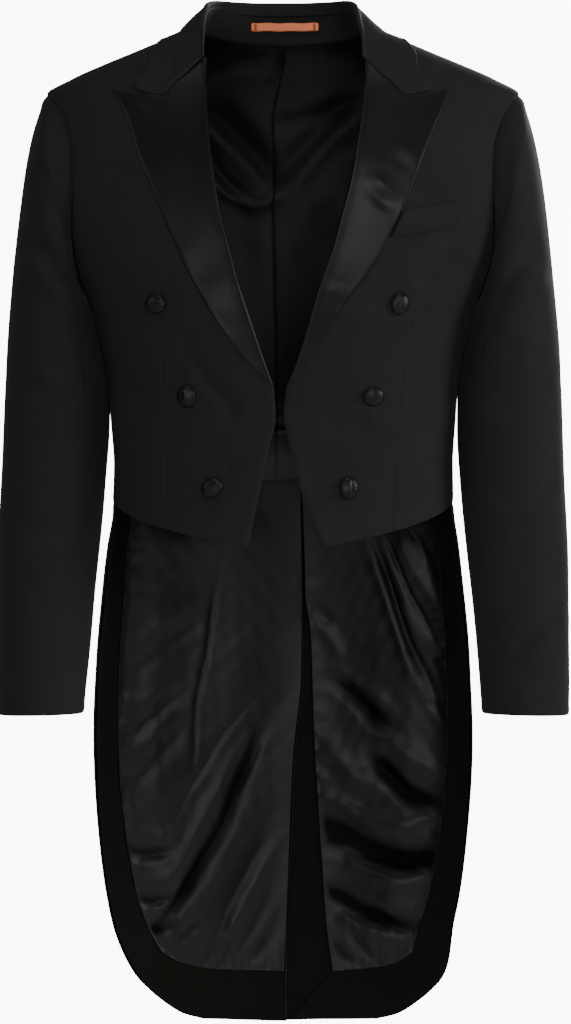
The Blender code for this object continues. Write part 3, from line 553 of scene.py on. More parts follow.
def level(column, z):
    return smooth_value(LEVELS[:, 0], LEVELS[:, BODY_COLUMNS.index(column)], z)


def body_point(turn, z):
    """Point of the worn form; a turn past 180 crosses the centre back."""
    turn = np.radians(np.asarray(turn, float))
    z = np.asarray(z, float)
    power = 2 / ROUNDNESS
    side = np.sign(np.sin(turn)) * np.abs(np.sin(turn)) ** power
    ahead = np.sign(np.cos(turn)) * np.abs(np.cos(turn)) ** power
    depth = np.where(ahead > 0, level("front_depth", z), level("back_depth", z))
    return np.stack([level("half_width", z) * side, -depth * ahead, z + 0 * side], -1)


def body_normal(turn, z, step=0.6, rise=0.002):
    """Unit normal of the worn form, pointing out."""
    across = body_point(np.asarray(turn) + step, z) - body_point(np.asarray(turn) - step, z)
    up = body_point(turn, np.asarray(z) + rise) - body_point(turn, np.asarray(z) - rise)
    return unit(np.cross(across, up))


def front_turn(x, z):
    """Turn at which the front of the form is x away from the centre plane."""
    share = np.clip(np.abs(x) / level("half_width", z), 0.0, 1.0)
    return np.degrees(np.arcsin(share ** (ROUNDNESS / 2)))


def turn_at_depth(y, z):
    """Turn at which the form is y behind the side line, or -y in front of it."""
    depth = np.where(np.asarray(y) < 0, level("front_depth", z), level("back_depth", z))
    share = np.clip(np.abs(y) / depth, 0.0, 1.0) ** (ROUNDNESS / 2)
    return 90.0 + np.sign(y) * np.degrees(np.arcsin(share))


def on_front(points):
    """Front-view points (x, z) as turns and heights."""
    points = np.asarray(points, float)
    return np.stack([front_turn(points[:, 0], points[:, 1]), points[:, 1]], -1)


def on_back(points):
    points = on_front(points)
    points[:, 0] = 180.0 - points[:, 0]
    return points


def side_column(rows, side):
    """Front-view points of one side of a table with right and left columns."""
    column = FRONT_COLUMNS.index("left" if side > 0 else "right")
    return np.array([(row[column], row[0]) for row in rows])


def unit(vectors):
    return vectors / np.maximum(np.linalg.norm(vectors, axis=-1, keepdims=True), 1e-12)


def resample(points, cells):
    """Points evenly spaced along a smooth curve through the given turns and heights."""
    points = np.asarray(points, float)
    scale = np.ones(points.shape[1])
    if points.shape[1] == 2:
        scale[0] = METRES_PER_DEGREE
    spans = np.linalg.norm(np.diff(points * scale, axis=0), axis=1)
    keys = np.concatenate([[0.0], np.cumsum(spans)])
    at = np.linspace(0.0, keys[-1], cells + 1)
    if len(points) == 2:
        return np.stack([np.interp(at, keys, column) for column in points.T], -1)
    return np.stack([smooth_value(keys, column, at) for column in points.T], -1)


def joined(*stretches):
    """One line from stretches that meet end to end."""
    kept = [stretches[0]] + [stretch[1:] for stretch in stretches[1:]]
    return np.concatenate(kept)


def patch(top, bottom, left, right):
    """Grid that fills four border lines; rows run from top to bottom."""
    u = np.linspace(0, 1, len(top))[None, :, None]
    v = np.linspace(0, 1, len(left))[:, None, None]
    along = (1 - v) * top[None] + v * bottom[None]
    down = (1 - u) * left[:, None] + u * right[:, None]
    corners = ((1 - u) * (1 - v) * top[0] + u * (1 - v) * top[-1]
               + (1 - u) * v * bottom[0] + u * v * bottom[-1])
    return along + down - corners


def stacked(top, bottom, left, right, breaks):
    """Patches stacked downward, which meet on straight lines at the rows in breaks."""
    rows = (0, *breaks, len(left) - 1)
    lines = [top] + [resample((left[row], right[row]), len(top) - 1) for row in breaks] + [bottom]
    parts = [patch(lines[i], lines[i + 1], left[start:end + 1], right[start:end + 1])
             for i, (start, end) in enumerate(zip(rows, rows[1:]))]
    return joined(*parts)


def shoulder_seam(cells):
    return resample(((90.0, NECK_SIDE_Z), (90.0, SHOULDER_Z)), cells)


def armhole_loop(cells):
    """Armhole from the shoulder point round the front, underarm and back."""
    angle = np.linspace(0, 2 * math.pi, cells + 1)
    middle = (SHOULDER_Z + ARMHOLE_LOW_Z) / 2
    z = middle + (SHOULDER_Z - middle) * np.cos(angle)
    y = -np.where(np.sin(angle) > 0, ARMHOLE_FRONT, ARMHOLE_BACK) * np.sin(angle)
    return np.stack([turn_at_depth(y, z), z], -1)


def front_cells(side, across, down):
    armhole = armhole_loop(20 * down)[:7 * down + 1]
    side_seam = resample((armhole[-1], *SIDE_SEAM), 9 * down)
    roll = on_front(side_column(ROLL_LINE, side))
    neck = ((90.0, NECK_SIDE_Z), *on_front(FRONT_NECK), roll[0])
    edge = on_front(side_column(FRONT_EDGE, side))
    inner = joined(resample(neck, 3 * down), resample(roll, 8 * down), resample(edge, 5 * down))
    hem = resample((inner[-1], WAIST_SIDE), across)
    return stacked(shoulder_seam(across), hem, inner, joined(armhole, side_seam), (7 * down,))


def side_body_cells(across, down):
    loop = armhole_loop(20 * across)
    underarm = loop[7 * across:13 * across + 1]
    waist = resample((WAIST_SIDE, WAIST_BACK), 6 * across)
    left = resample((underarm[0], *SIDE_SEAM), 9 * down)
    right = resample((underarm[-1], *SIDE_BACK_SEAM), 9 * down)
    return patch(underarm, waist, left, right)


def neck_back(cells):
    points = ((180.0, NECK_BACK_Z), *on_back(NECK_BACK_SEAM), (90.0, NECK_SIDE_Z))
    return resample(points, cells)


def back_cells(side, across, down):
    armhole = armhole_loop(20 * down)[13 * down:][::-1]
    side_back = resample((armhole[-1], *SIDE_BACK_SEAM), 9 * down)
    outer = joined(armhole, side_back, resample(SKIRT_SEAM, 12 * down))
    vent = LEFT_VENT_EDGE if side > 0 else RIGHT_VENT_EDGE
    waist_z = WAIST_BACK[1]
    centre = joined(
        resample(((180.0, NECK_BACK_Z), (180.0, armhole[-1][1])), 7 * down),
        resample(((180.0, armhole[-1][1]), (180.0, waist_z)), 9 * down),
        resample(((180.0, waist_z), *vent), 12 * down),
    )
    top = joined(neck_back(5 * across), shoulder_seam(6 * across))
    hem = resample((centre[-1], BACK_HEM), 11 * across)
    return stacked(top, hem, centre, outer, (7 * down, 16 * down))


def skirt_cells(across, down):
    top = resample((TAIL_FRONT_EDGE[0], WAIST_BACK), across)
    front = resample(TAIL_FRONT_EDGE, down)
    return patch(top, resample(TAIL_HEM, across), front, resample(SKIRT_SEAM, down))


def tail_lining_cells(side, across, down):
    centre = resample(LEFT_LINING_CENTRE if side > 0 else RIGHT_LINING_CENTRE, down)
    edge = resample(LINING_FRONT_EDGE, down)
    top = resample((edge[0], centre[0]), across)
    low = resample((LINING_CORNER, *LINING_HEM_MIDDLE, centre[-1]), across)
    return patch(top, low, edge, centre)


def vent_lift(cells, side):
    """How far the left tail stands off, to lie over the right one."""
    near = smooth_step(*VENT_LIFT_TURNS, cells[..., 0])
    low = smooth_step(*VENT_LIFT_LEVELS, -cells[..., 1])
    return VENT_LIFT * near * low * (side > 0)


# Cloth surfaces

def soft_floor(values, floor, softness):
    """Values eased onto a floor rather than cut off at it."""
    above = values - floor
    return floor + (above + np.sqrt(above ** 2 + softness ** 2)) / 2


def extra_rows(grid, near=(0.12, 0.36)):
    """The grid with rows and columns added close to all four borders."""
    for axis in (0, 1):
        last = grid.shape[axis] - 1
        near_start = [0.0, *near]
        near_end = [last - share for share in reversed(near_start)]
        at = np.concatenate([near_start, np.arange(1, last), near_end])
        low = np.clip(at.astype(int), 0, last - 1)
        share = (at - low).reshape((-1,) + (1,) * (grid.ndim - 1 - axis))
        if axis == 1:
            share = share[None]
        grid = (np.take(grid, low, axis) * (1 - share) + np.take(grid, low + 1, axis) * share)
    return grid


def border_distances(points):
    """Distances in metres from the top, bottom, left and right borders of a grid."""
    def lengths(axis):
        steps = np.linalg.norm(np.diff(points, axis=axis), axis=-1)
        zero = np.zeros_like(np.take(steps, [0], axis))
        return np.cumsum(np.concatenate([zero, steps], axis), axis)
    down = lengths(0)
    across = lengths(1)
    return down, down[-1:] - down, across, across[:, -1:] - across


def bell(distance, width):
    return np.exp(-(distance / width) ** 2)


def raised(points, lift, normals):
    return points + lift[..., None] * normals


def seam_profile(distance):
    """Groove of a pressed seam, with its turnings as a faint swell beside it."""
    groove = -0.0006 * bell(distance, 0.0012)
    return groove + 0.0003 * bell(distance - 0.006, 0.004)


def edge_profile(distance):
    """A turned and pressed free edge."""
    return 0.0004 * bell(distance - 0.004, 0.003) - 0.0003 * bell(distance, 0.001)


def loose_from(reach, *distances):
    """Share of the looseness that is left beside sewn borders, from 0 at the seam to 1."""
    nearest = distances[0]
    for distance in distances[1:]:
        nearest = np.minimum(nearest, distance)
    return smooth_step(0.0, reach, nearest)


def crease_lift(x, z, rows, fade=0.22):
    """Sum of soft troughs and ridges over front-view places."""
    total = np.zeros(np.broadcast(x, z).shape)
    for row in rows:
        crease = dict(zip(CREASE_COLUMNS, [value / 1000 for value in row[:8]]))
        skew = row[8] if len(row) > 8 else 1.0
        line_x = crease["x_b"] - crease["x_a"]
        line_z = crease["z_b"] - crease["z_a"]
        length = math.hypot(line_x, line_z)
        along_x, along_z = line_x / length, line_z / length
        middle_x = crease["x_m"] - crease["x_a"]
        middle_z = crease["z_m"] - crease["z_a"]
        middle_t = (middle_x * along_x + middle_z * along_z) / length
        middle_s = middle_z * along_x - middle_x * along_z
        bow = middle_s / max(4 * middle_t * (1 - middle_t), 0.2)
        t = ((x - crease["x_a"]) * along_x + (z - crease["z_a"]) * along_z) / length
        s = (z - crease["z_a"]) * along_x - (x - crease["x_a"]) * along_z
        s = s - bow * 4 * t * (1 - t)
        width = crease["width"] * np.where(s > 0, skew, 1.0)
        ends = smooth_step(-0.05, fade, t) * (1 - smooth_step(1.0 - fade, 1.08, t))
        total += crease["height"] * bell(s, width) * ends
    return total


def unevenness(points, kind, side=0):
    """Gentle waves of cloth that is not quite smooth, from a few crossing sines."""
    size, height, seed = WAVES[kind]
    rng = np.random.default_rng(seed + side)
    total = np.zeros(points.shape[:-1])
    for _ in range(6):
        direction = unit(rng.normal(size=3))
        phase = rng.uniform(0, 2 * math.pi)
        pitch = size * rng.uniform(0.6, 1.7)
        total += np.sin(points @ direction * 2 * math.pi / pitch + phase)
    return height * total / 6


def puckers(along, distance, kind, side=0):
    """Small gathers that run in from a sewn border."""
    pitch, height, reach, seed = PUCKERS[kind]
    rng = np.random.default_rng(seed + side)
    wave = np.zeros(np.broadcast(along, distance).shape)
    for _ in range(4):
        wave = wave + np.sin(2 * math.pi * along / (pitch * rng.uniform(0.6, 1.8)) + rng.uniform(0, 6.28))
    return height * wave / 4 * np.exp(-distance / reach) * smooth_step(0.0, 0.003, distance)


def draw_in(cells, start=0.0, end=0.0):
    """Grid of turns and heights, each row shortened by lengths at its start and end."""
    along = border_distances(body_point(cells[..., 0], cells[..., 1]))[2]
    start = np.broadcast_to(start, len(cells))
    end = np.broadcast_to(end, len(cells))
    moved = np.empty_like(cells)
    for i, row in enumerate(cells):
        length = along[i, -1]
        goal = start[i] + along[i] * (length - start[i] - end[i]) / max(length, 1e-9)
        for k in (0, 1):
            moved[i, :, k] = np.interp(goal, along[i], row[:, k])
    return moved


def draw_down(cells, top=0.0, bottom=0.0):
    """The same for the columns of the grid."""
    return draw_in(cells.swapaxes(0, 1), top, bottom).swapaxes(0, 1)


def grid_normals(grid, wraps=False):
    """Unit normals of a grid of points."""
    if wraps:
        across = np.roll(grid, -1, axis=1) - np.roll(grid, 1, axis=1)
    else:
        across = np.gradient(grid, axis=1)
    return unit(np.cross(across, -np.gradient(grid, axis=0)))


def facing_way(normals, agreement):
    """The normals, turned round where they disagree with a direction on the whole."""
    return -normals if np.sum(agreement) < 0 else normals


def grid_faces(rows, columns, shift=0):
    """Four-cornered faces of a grid of points."""
    ids = np.arange(rows * columns).reshape(rows, columns) + shift
    corners = (ids[:-1, :-1], ids[:-1, 1:], ids[1:, 1:], ids[1:, :-1])
    return np.stack(corners, -1).reshape(-1, 4)


def border_ids(rows, columns):
    ids = np.arange(rows * columns).reshape(rows, columns)
    return np.concatenate([ids[0], ids[1:, -1], ids[-1, -2::-1], ids[-2:0:-1, 0]])


def mesh_object(name, points, faces, material, uv=None):
    mesh = bpy.data.meshes.new(name)
    mesh.from_pydata(points.tolist(), [], faces)
    if uv is not None:
        layer = mesh.uv_layers.new(name="cloth")
        corner_points = np.zeros(len(mesh.loops), int)
        mesh.loops.foreach_get("vertex_index", corner_points)
        layer.data.foreach_set("uv", uv[corner_points].astype(np.float32).ravel())
    mesh.update()
    mesh.shade_smooth()
    mesh.materials.append(material)
    item = bpy.data.objects.new(name, mesh)
    bpy.context.scene.collection.objects.link(item)
    return item


def wall(name, outer, inner, side, material, inner_material=None, rim_reach=0.0010):
    """Closed cloth wall between two grids, with a rounded rim and sizes as its UV map."""
    rows, columns = outer.shape[:2]
    count = rows * columns
    rim = border_ids(rows, columns)
    border = outer.reshape(-1, 3)[rim]
    outward = np.zeros_like(outer)
    outward[0] += unit(outer[0] - outer[1])
    outward[-1] += unit(outer[-1] - outer[-2])
    outward[:, 0] += unit(outer[:, 0] - outer[:, 1])
    outward[:, -1] += unit(outer[:, -1] - outer[:, -2])
    across_wall = inner.reshape(-1, 3)[rim] - border
    middle = border + across_wall / 2 + rim_reach * unit(outward.reshape(-1, 3)[rim])
    points = np.concatenate([outer.reshape(-1, 3), inner.reshape(-1, 3), middle])
    points[:, 0] *= side
    down, _, across, _ = border_distances(outer)
    uv = np.stack([across, down], -1).reshape(-1, 2)
    uv = np.concatenate([uv, uv, uv[rim]])
    after = np.roll(rim, -1)
    middle_ids = 2 * count + np.arange(len(rim))
    middle_after = np.roll(middle_ids, -1)
    faces = [
        grid_faces(rows, columns),
        grid_faces(rows, columns, count)[:, ::-1],
        np.stack([after, rim, middle_ids, middle_after], -1),
        np.stack([middle_after, middle_ids, rim + count, after + count], -1),
    ]
    faces = np.concatenate(faces)
    a, b, c, _ = points[faces[len(faces) // 5]]
    front = (outer - inner).reshape(-1, 3)[faces[len(faces) // 5][0] % count] * np.array([side, 1, 1])
    if np.dot(np.cross(b - a, c - a), front) < 0:
        faces = faces[:, ::-1]
    item = mesh_object(name, points, faces.tolist(), material, uv)
    if inner_material:
        item.data.materials.append(inner_material)
        inner_faces = len(grid_faces(rows, columns))
        chosen = np.zeros(len(faces), np.int32)
        chosen[inner_faces:2 * inner_faces] = 1
        item.data.polygons.foreach_set("material_index", chosen)
    return item


def mark_painted_shade(item, depth, count):
    """Store painted shade, 0 to 1, at each point, where the satin's colour and gloss are painted darker."""
    depth = depth.reshape(-1)
    values = np.zeros(len(item.data.vertices), np.float32)
    values[:count] = depth
    values[count:2 * count] = depth
    layer = item.data.attributes.new("painted_shade", "FLOAT", "POINT")
    layer.data.foreach_set("value", values)


def cloth_piece(kind, name, side, outer, normals, thickness, material, **options):
    """Cloth wall under its outer grid, on the coat's one body, that stands for its node."""
    node = f"{kind}_{name}" if name else kind
    item = wall(node, outer, outer - thickness * normals, side, material, **options)
    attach(item, "root")
    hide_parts(node)
    return item


# Materials

def new_material(name, colour, roughness, specular):
    material = bpy.data.materials.new(name)
    material.use_nodes = True
    shader = material.node_tree.nodes["Principled BSDF"]
    shader.inputs["Base Color"].default_value = (*colour, 1.0)
    shader.inputs["Roughness"].default_value = roughness
    shader.inputs["Specular IOR Level"].default_value = specular
    return material, material.node_tree, shader


def add_node(tree, kind, **values):
    node = tree.nodes.new(kind)
    for key, value in values.items():
        if key in node.inputs:
            node.inputs[key].default_value = value
        else:
            setattr(node, key, value)
    return node


def weave_height(tree, pitch, angle):
    """Fine diagonal or straight ribs across the cloth, from its sizes in metres."""
    coordinates = add_node(tree, "ShaderNodeUVMap", uv_map="cloth")
    turn = add_node(tree, "ShaderNodeMapping")
    turn.inputs["Rotation"].default_value = (0.0, 0.0, math.radians(angle))
    ribs = add_node(tree, "ShaderNodeTexWave", Scale=math.pi / (10 * pitch), Distortion=0.6)
    ribs.inputs["Detail"].default_value = 1.0
    tree.links.new(coordinates.outputs["UV"], turn.inputs["Vector"])
    tree.links.new(turn.outputs["Vector"], ribs.inputs["Vector"])
    return ribs.outputs["Fac"]


def cloud(tree, scale, detail=3.0, stretch=(1.0, 1.0, 1.0)):
    """Soft noise over the coat's own space."""
    coordinates = add_node(tree, "ShaderNodeTexCoord")
    squeeze = add_node(tree, "ShaderNodeMapping")
    squeeze.inputs["Scale"].default_value = stretch
    noise = add_node(tree, "ShaderNodeTexNoise", Scale=scale, Detail=detail)
    tree.links.new(coordinates.outputs["Object"], squeeze.inputs["Vector"])
    tree.links.new(squeeze.outputs["Vector"], noise.inputs["Vector"])
    return noise.outputs["Fac"]


def bump_from(tree, height, strength, distance, normal=None):
    bump = add_node(tree, "ShaderNodeBump", Strength=strength, Distance=distance)
    tree.links.new(height, bump.inputs["Height"])
    if normal is not None:
        tree.links.new(normal, bump.inputs["Normal"])
    return bump.outputs["Normal"]


def vary(tree, shader, socket, source, low, high):
    """A socket that follows a pattern between two values or colours."""
    if isinstance(low, tuple):
        mix = add_node(tree, "ShaderNodeMix", data_type="RGBA")
        tree.links.new(source, mix.inputs["Factor"])
        for socket_in in mix.inputs:
            if socket_in.type == "RGBA":
                socket_in.default_value = (*(low if socket_in.name == "A" else high), 1.0)
        output = next(out for out in mix.outputs if out.type == "RGBA")
    else:
        spread = add_node(tree, "ShaderNodeMapRange")
        spread.inputs["To Min"].default_value = low
        spread.inputs["To Max"].default_value = high
        tree.links.new(source, spread.inputs["Value"])
        output = spread.outputs["Result"]
    tree.links.new(output, shader.inputs[socket])


def wool_material(name, dark, light, specular, sheen):
    material, tree, shader = new_material(name, dark, 0.8, specular)
    shader.inputs["Sheen Weight"].default_value = sheen
    shader.inputs["Sheen Roughness"].default_value = 0.45
    vary(tree, shader, "Base Color", cloud(tree, 60.0, 4.0), dark, light)
    vary(tree, shader, "Roughness", cloud(tree, 24.0), 0.70, 0.88)
    fuzz = bump_from(tree, cloud(tree, 900.0, 2.0), 0.12, 0.0002)
    twill = bump_from(tree, weave_height(tree, 0.0008, 58.0), 0.16, 0.0001, fuzz)
    tree.links.new(twill, shader.inputs["Normal"])
    return material


# Painted shade: share of colour and gloss left where it is deepest, and the crease depth that counts as
# deepest.
PAINTED_SHADE_SHARE = 0.18
PAINTED_SHADE_DEPTH = 0.0075


def paint_stored_shade(tree, shader, dark, specular):
    """Painted shade: colour and gloss are darkened by a stored per-point share, deepest in creases."""
    painted_shade = add_node(tree, "ShaderNodeAttribute", attribute_name="painted_shade").outputs["Fac"]
    lit = shader.inputs["Base Color"].links[0].from_socket
    shade = add_node(tree, "ShaderNodeMix", data_type="RGBA")
    colours = [socket for socket in shade.inputs if socket.type == "RGBA"]
    tree.links.new(painted_shade, shade.inputs["Factor"])
    tree.links.new(lit, colours[0])
    colours[1].default_value = (*[PAINTED_SHADE_SHARE * value for value in dark], 1.0)
    mixed = next(out for out in shade.outputs if out.type == "RGBA")
    tree.links.new(mixed, shader.inputs["Base Color"])
    vary(tree, shader, "Specular IOR Level", painted_shade, specular, PAINTED_SHADE_SHARE * specular)


def satin_material(name, dark, light, roughness, specular, rib, with_painted_shade=False):
    material, tree, shader = new_material(name, dark, roughness, specular)
    vary(tree, shader, "Base Color", cloud(tree, 40.0), dark, light)
    # Painted shade, read from a stored per-point attribute.
    if with_painted_shade:
        paint_stored_shade(tree, shader, dark, specular)
    vary(tree, shader, "Roughness", cloud(tree, 30.0, 3.0), roughness - 0.03, roughness + 0.05)
    soft = bump_from(tree, cloud(tree, 160.0, 4.0, (1.0, 1.0, 0.5)), 0.10, 0.0010)
    grain = bump_from(tree, cloud(tree, 620.0, 2.0, (1.0, 1.0, 0.6)), 0.22, 0.0003, soft)
    ribs = bump_from(tree, weave_height(tree, rib, 90.0), 0.08, 0.0001, grain)
    tree.links.new(ribs, shader.inputs["Normal"])
    return material


def ribbon_material():
    material, tree, shader = new_material("orange_ribbon_weave", (0.9, 0.22, 0.08), 0.38, 0.60)
    vary(tree, shader, "Base Color", cloud(tree, 300.0), (0.98, 0.20, 0.070), (1.0, 0.28, 0.110))
    shader.inputs["Sheen Weight"].default_value = 0.55
    shader.inputs["Sheen Tint"].default_value = (1.0, 0.42, 0.22, 1.0)
    ribs = bump_from(tree, weave_height(tree, 0.0007, 0.0), 0.5, 0.0002)
    tree.links.new(ribs, shader.inputs["Normal"])
    return material


def thread_material():
    material, tree, shader = new_material("tack_thread", (0.46, 0.085, 0.022), 0.6, 0.3)
    vary(tree, shader, "Base Color", cloud(tree, 900.0), (0.38, 0.070, 0.018), (0.54, 0.100, 0.028))
    strands = bump_from(tree, cloud(tree, 1400.0, 3.0, (0.2, 1.0, 1.0)), 0.4, 0.0001)
    tree.links.new(strands, shader.inputs["Normal"])
    return material


WOOL_CLOTH = wool_material("wool_twill", (0.0108, 0.0108, 0.0104), (0.0150, 0.0150, 0.0144),
                           specular=0.15, sheen=0.04)
WOOL_INSIDE = wool_material("wool_facing", (0.0056, 0.0057, 0.0045), (0.0082, 0.0083, 0.0068),
                            specular=0.05, sheen=0.008)
SATIN_CLOTH = satin_material("lapel_satin", (0.0042, 0.0042, 0.0043), (0.0064, 0.0064, 0.0066),
                             roughness=0.38, specular=0.22, rib=0.0006)
LINING_CLOTH = satin_material("lining_satin", (0.0034, 0.0033, 0.0036), (0.0050, 0.0048, 0.0053),
                              roughness=0.45, specular=0.32, rib=0.0007, with_painted_shade=True)
BODY_LINING = satin_material("body_lining_satin", (0.0058, 0.0058, 0.0060), (0.0086, 0.0086, 0.0089),
                             roughness=0.52, specular=0.17, rib=0.0007, with_painted_shade=True)
# Painted light: a lighter copy of the lining satin, for the back lining below its waist fold, where the
# fronts shade it.
PAINTED_LIGHT_LINING = satin_material("lining_satin_painted_light", (0.0135, 0.0133, 0.0139), (0.0180, 0.0177, 0.0184),
                              roughness=0.50, specular=0.34, rib=0.0007)
RIBBON_CLOTH = ribbon_material()
TACK_THREAD = thread_material()


# Body panels

def panel_places(cells, side):
    """Points, normals, and front-view x of a grid of turns and heights."""
    points = body_point(cells[..., 0], cells[..., 1])
    normals = body_normal(cells[..., 0], cells[..., 1])
    outward = smooth_step(0.02, 0.10, points[..., 0])
    points[..., 0] += CORNER_EASE[side] * outward * smooth_step(0.900, 0.978, -points[..., 2])
    return points, normals, points[..., 0] * side


def follow_dart(cells, side, column):
    """Shift the columns so that one of them runs down the front dart."""
    dart = side_column(DART, side)[::-1]
    last = cells.shape[1] - 1
    at = np.arange(last + 1) / last
    moved = cells.copy()
    for i, row in enumerate(cells):
        x = body_point(row[:, 0], row[:, 1])[:, 0]
        goal = np.interp(row[column, 1], dart[:, 1], dart[:, 0])
        goal = np.clip(goal, x.min() + 0.012, x.max() - 0.012)
        order = np.argsort(x)
        share = np.interp(goal, x[order], at[order])
        new_at = np.interp(at, [0.0, at[column], 1.0], [0.0, share, 1.0])
        moved[i] = np.stack([np.interp(new_at, at, row[:, k]) for k in (0, 1)], -1)
    return moved


def around_column(grid, column, near=(0.12, 0.34)):
    """The grid with columns added close beside one column."""
    at = np.arange(grid.shape[1], dtype=float)
    extra = [column - share for share in near] + [column + share for share in near]
    at = np.sort(np.concatenate([at, extra]))
    low = np.clip(at.astype(int), 0, grid.shape[1] - 2)
    share = (at - low)[None, :, None]
    return grid[:, low] * (1 - share) + grid[:, low + 1] * share


def dart_profile(distance):
    """A dart: a sewn line in a shallow hollow."""
    return -0.0006 * bell(distance, 0.0011) - 0.0006 * bell(distance, 0.012)


def build_front(side, name):
    across, down = 76, 9
    dart_column = 40
    cells = follow_dart(front_cells(side, across, down), side, dart_column)
    cells = extra_rows(around_column(cells, dart_column))
    z = cells[:, 0, 1]
    under_roll = smooth_step(0.010, 0.020, -z) * (1 - smooth_step(0.325, 0.350, -z))
    cells = draw_in(cells, start=ROLL_COVER * under_roll)
    points, normals, x = panel_places(cells, side)
    z = cells[..., 1]
    top, bottom, left, right = border_distances(points)
    dart = side_column(DART, side)[::-1]
    from_dart = np.abs(x * side - np.interp(z, dart[:, 1], dart[:, 0]))
    free = smooth_step(0.345, 0.352, -z)
    folds = crease_lift(x, z, FRONT_CREASES) + unevenness(points, "front", side)
    lift = (seam_profile(top) + edge_profile(bottom) + free * edge_profile(left) + seam_profile(right)
            + dart_profile(from_dart) * smooth_step(-DART_TOP_Z, -DART_TOP_Z + 0.02, -z)
            + loose_from(SEAM_HOLD, top, right) * folds)
    outer = raised(points, lift, normals)
    cloth_piece("front", name, side, outer, normals, WOOL_SHELL, WOOL_CLOTH,
                inner_material=WOOL_INSIDE)


def build_side_body(side, name):
    cells = extra_rows(side_body_cells(5, 9))
    points, normals, _ = panel_places(cells, side)
    top, bottom, left, right = border_distances(points)
    lift = (seam_profile(top) + seam_profile(bottom) + seam_profile(left) + seam_profile(right)
            + loose_from(SEAM_HOLD, top, bottom, left, right) * unevenness(points, "side_body", side))
    outer = raised(points, lift, normals)
    cloth_piece("side_body", name, side, outer, normals, WOOL_SHELL, WOOL_CLOTH,
                inner_material=WOOL_INSIDE)


def build_back(side, name):
    cells = extra_rows(back_cells(side, 5, 7))
    points, normals, x = panel_places(cells, side)
    z = cells[..., 1]
    top, bottom, left, right = border_distances(points)
    vent = smooth_step(0.452, 0.462, -z)
    folds = crease_lift(x, z, BACK_CREASES) + unevenness(points, "back", side)
    lift = (vent_lift(cells, side) + seam_profile(top) + edge_profile(bottom) + seam_profile(right)
            + (1 - vent) * seam_profile(left) + vent * edge_profile(left)
            + loose_from(SEAM_HOLD, top, right, left + 0.02 * vent) * folds)
    outer = raised(points, lift, normals)
    cloth_piece("back", name, side, outer, normals, WOOL_SHELL, WOOL_CLOTH,
                inner_material=WOOL_INSIDE)


def build_skirt(side, name):
    cells = extra_rows(skirt_cells(44, 110))
    points, normals, x = panel_places(cells, side)
    z = cells[..., 1]
    top, bottom, left, right = border_distances(points)
    folds = (crease_lift(x, z, BACK_CREASES) * smooth_step(100.0, 120.0, cells[..., 0])
             + unevenness(points, "skirt", side))
    lift = (seam_profile(top) + edge_profile(bottom) + edge_profile(left) + seam_profile(right)
            + loose_from(SEAM_HOLD, top, right) * folds)
    outer = raised(points, lift, normals)
    cloth_piece("skirt", name, side, outer, normals, WOOL_SHELL, WOOL_CLOTH,
                inner_material=WOOL_INSIDE)


# Sleeves

def smooth_rings(rings, at):
    """Rings between the given ones, on a curve through them all."""
    last = len(rings) - 1
    i = np.clip(at.astype(int), 0, last - 1)
    t = (at - i)[:, None, None]
    tangents = np.gradient(rings, axis=0)
    start = (1 + 2 * t) * (1 - t) ** 2 * rings[i] + t * (1 - t) ** 2 * tangents[i]
    end = t * t * (3 - 2 * t) * rings[i + 1] - t * t * (1 - t) * tangents[i + 1]
    return start + end


def sleeve_surface(sides, rows):
    """Whole sleeve from the armhole to the cuff, and its normals."""
    loop = armhole_loop(sides)
    edge = body_point(loop[:, 0], loop[:, 1])
    angle = np.linspace(0, 2 * math.pi, sides + 1)
    power = 2 / SLEEVE_ROUNDNESS
    along_axis = np.sign(np.cos(angle)) * np.abs(np.cos(angle)) ** power
    across_axis = np.sign(np.sin(angle)) * np.abs(np.sin(angle)) ** power
    rings = [edge]
    for row in SLEEVE_RINGS:
        ring = dict(zip(SLEEVE_COLUMNS, row))
        high = np.array([ring["outer_x"], ring["outer_z"]])
        low = np.array([ring["inner_x"], ring["inner_z"]])
        middle = (high + low) / 2 + (high - low) / 2 * along_axis[:, None]
        y = ring["centre_y"] - ring["half_depth"] * across_axis
        rings.append(np.stack([middle[:, 0], y, middle[:, 1]], -1))
    last = len(rings) - 1
    near = np.array([0.0, 0.05, 0.12])
    at = np.concatenate([near, np.linspace(0.22, last - 0.08, rows), last - near[1::-1] / 2])
    points = smooth_rings(np.array(rings), at)
    normals = grid_normals(points[:, :-1], wraps=True)
    middle = points[:, :-1].mean(axis=1, keepdims=True)
    normals = facing_way(normals, normals[8:] * (points[8:, :-1] - middle[8:]))
    return points, np.concatenate([normals, normals[:, :1]], axis=1)


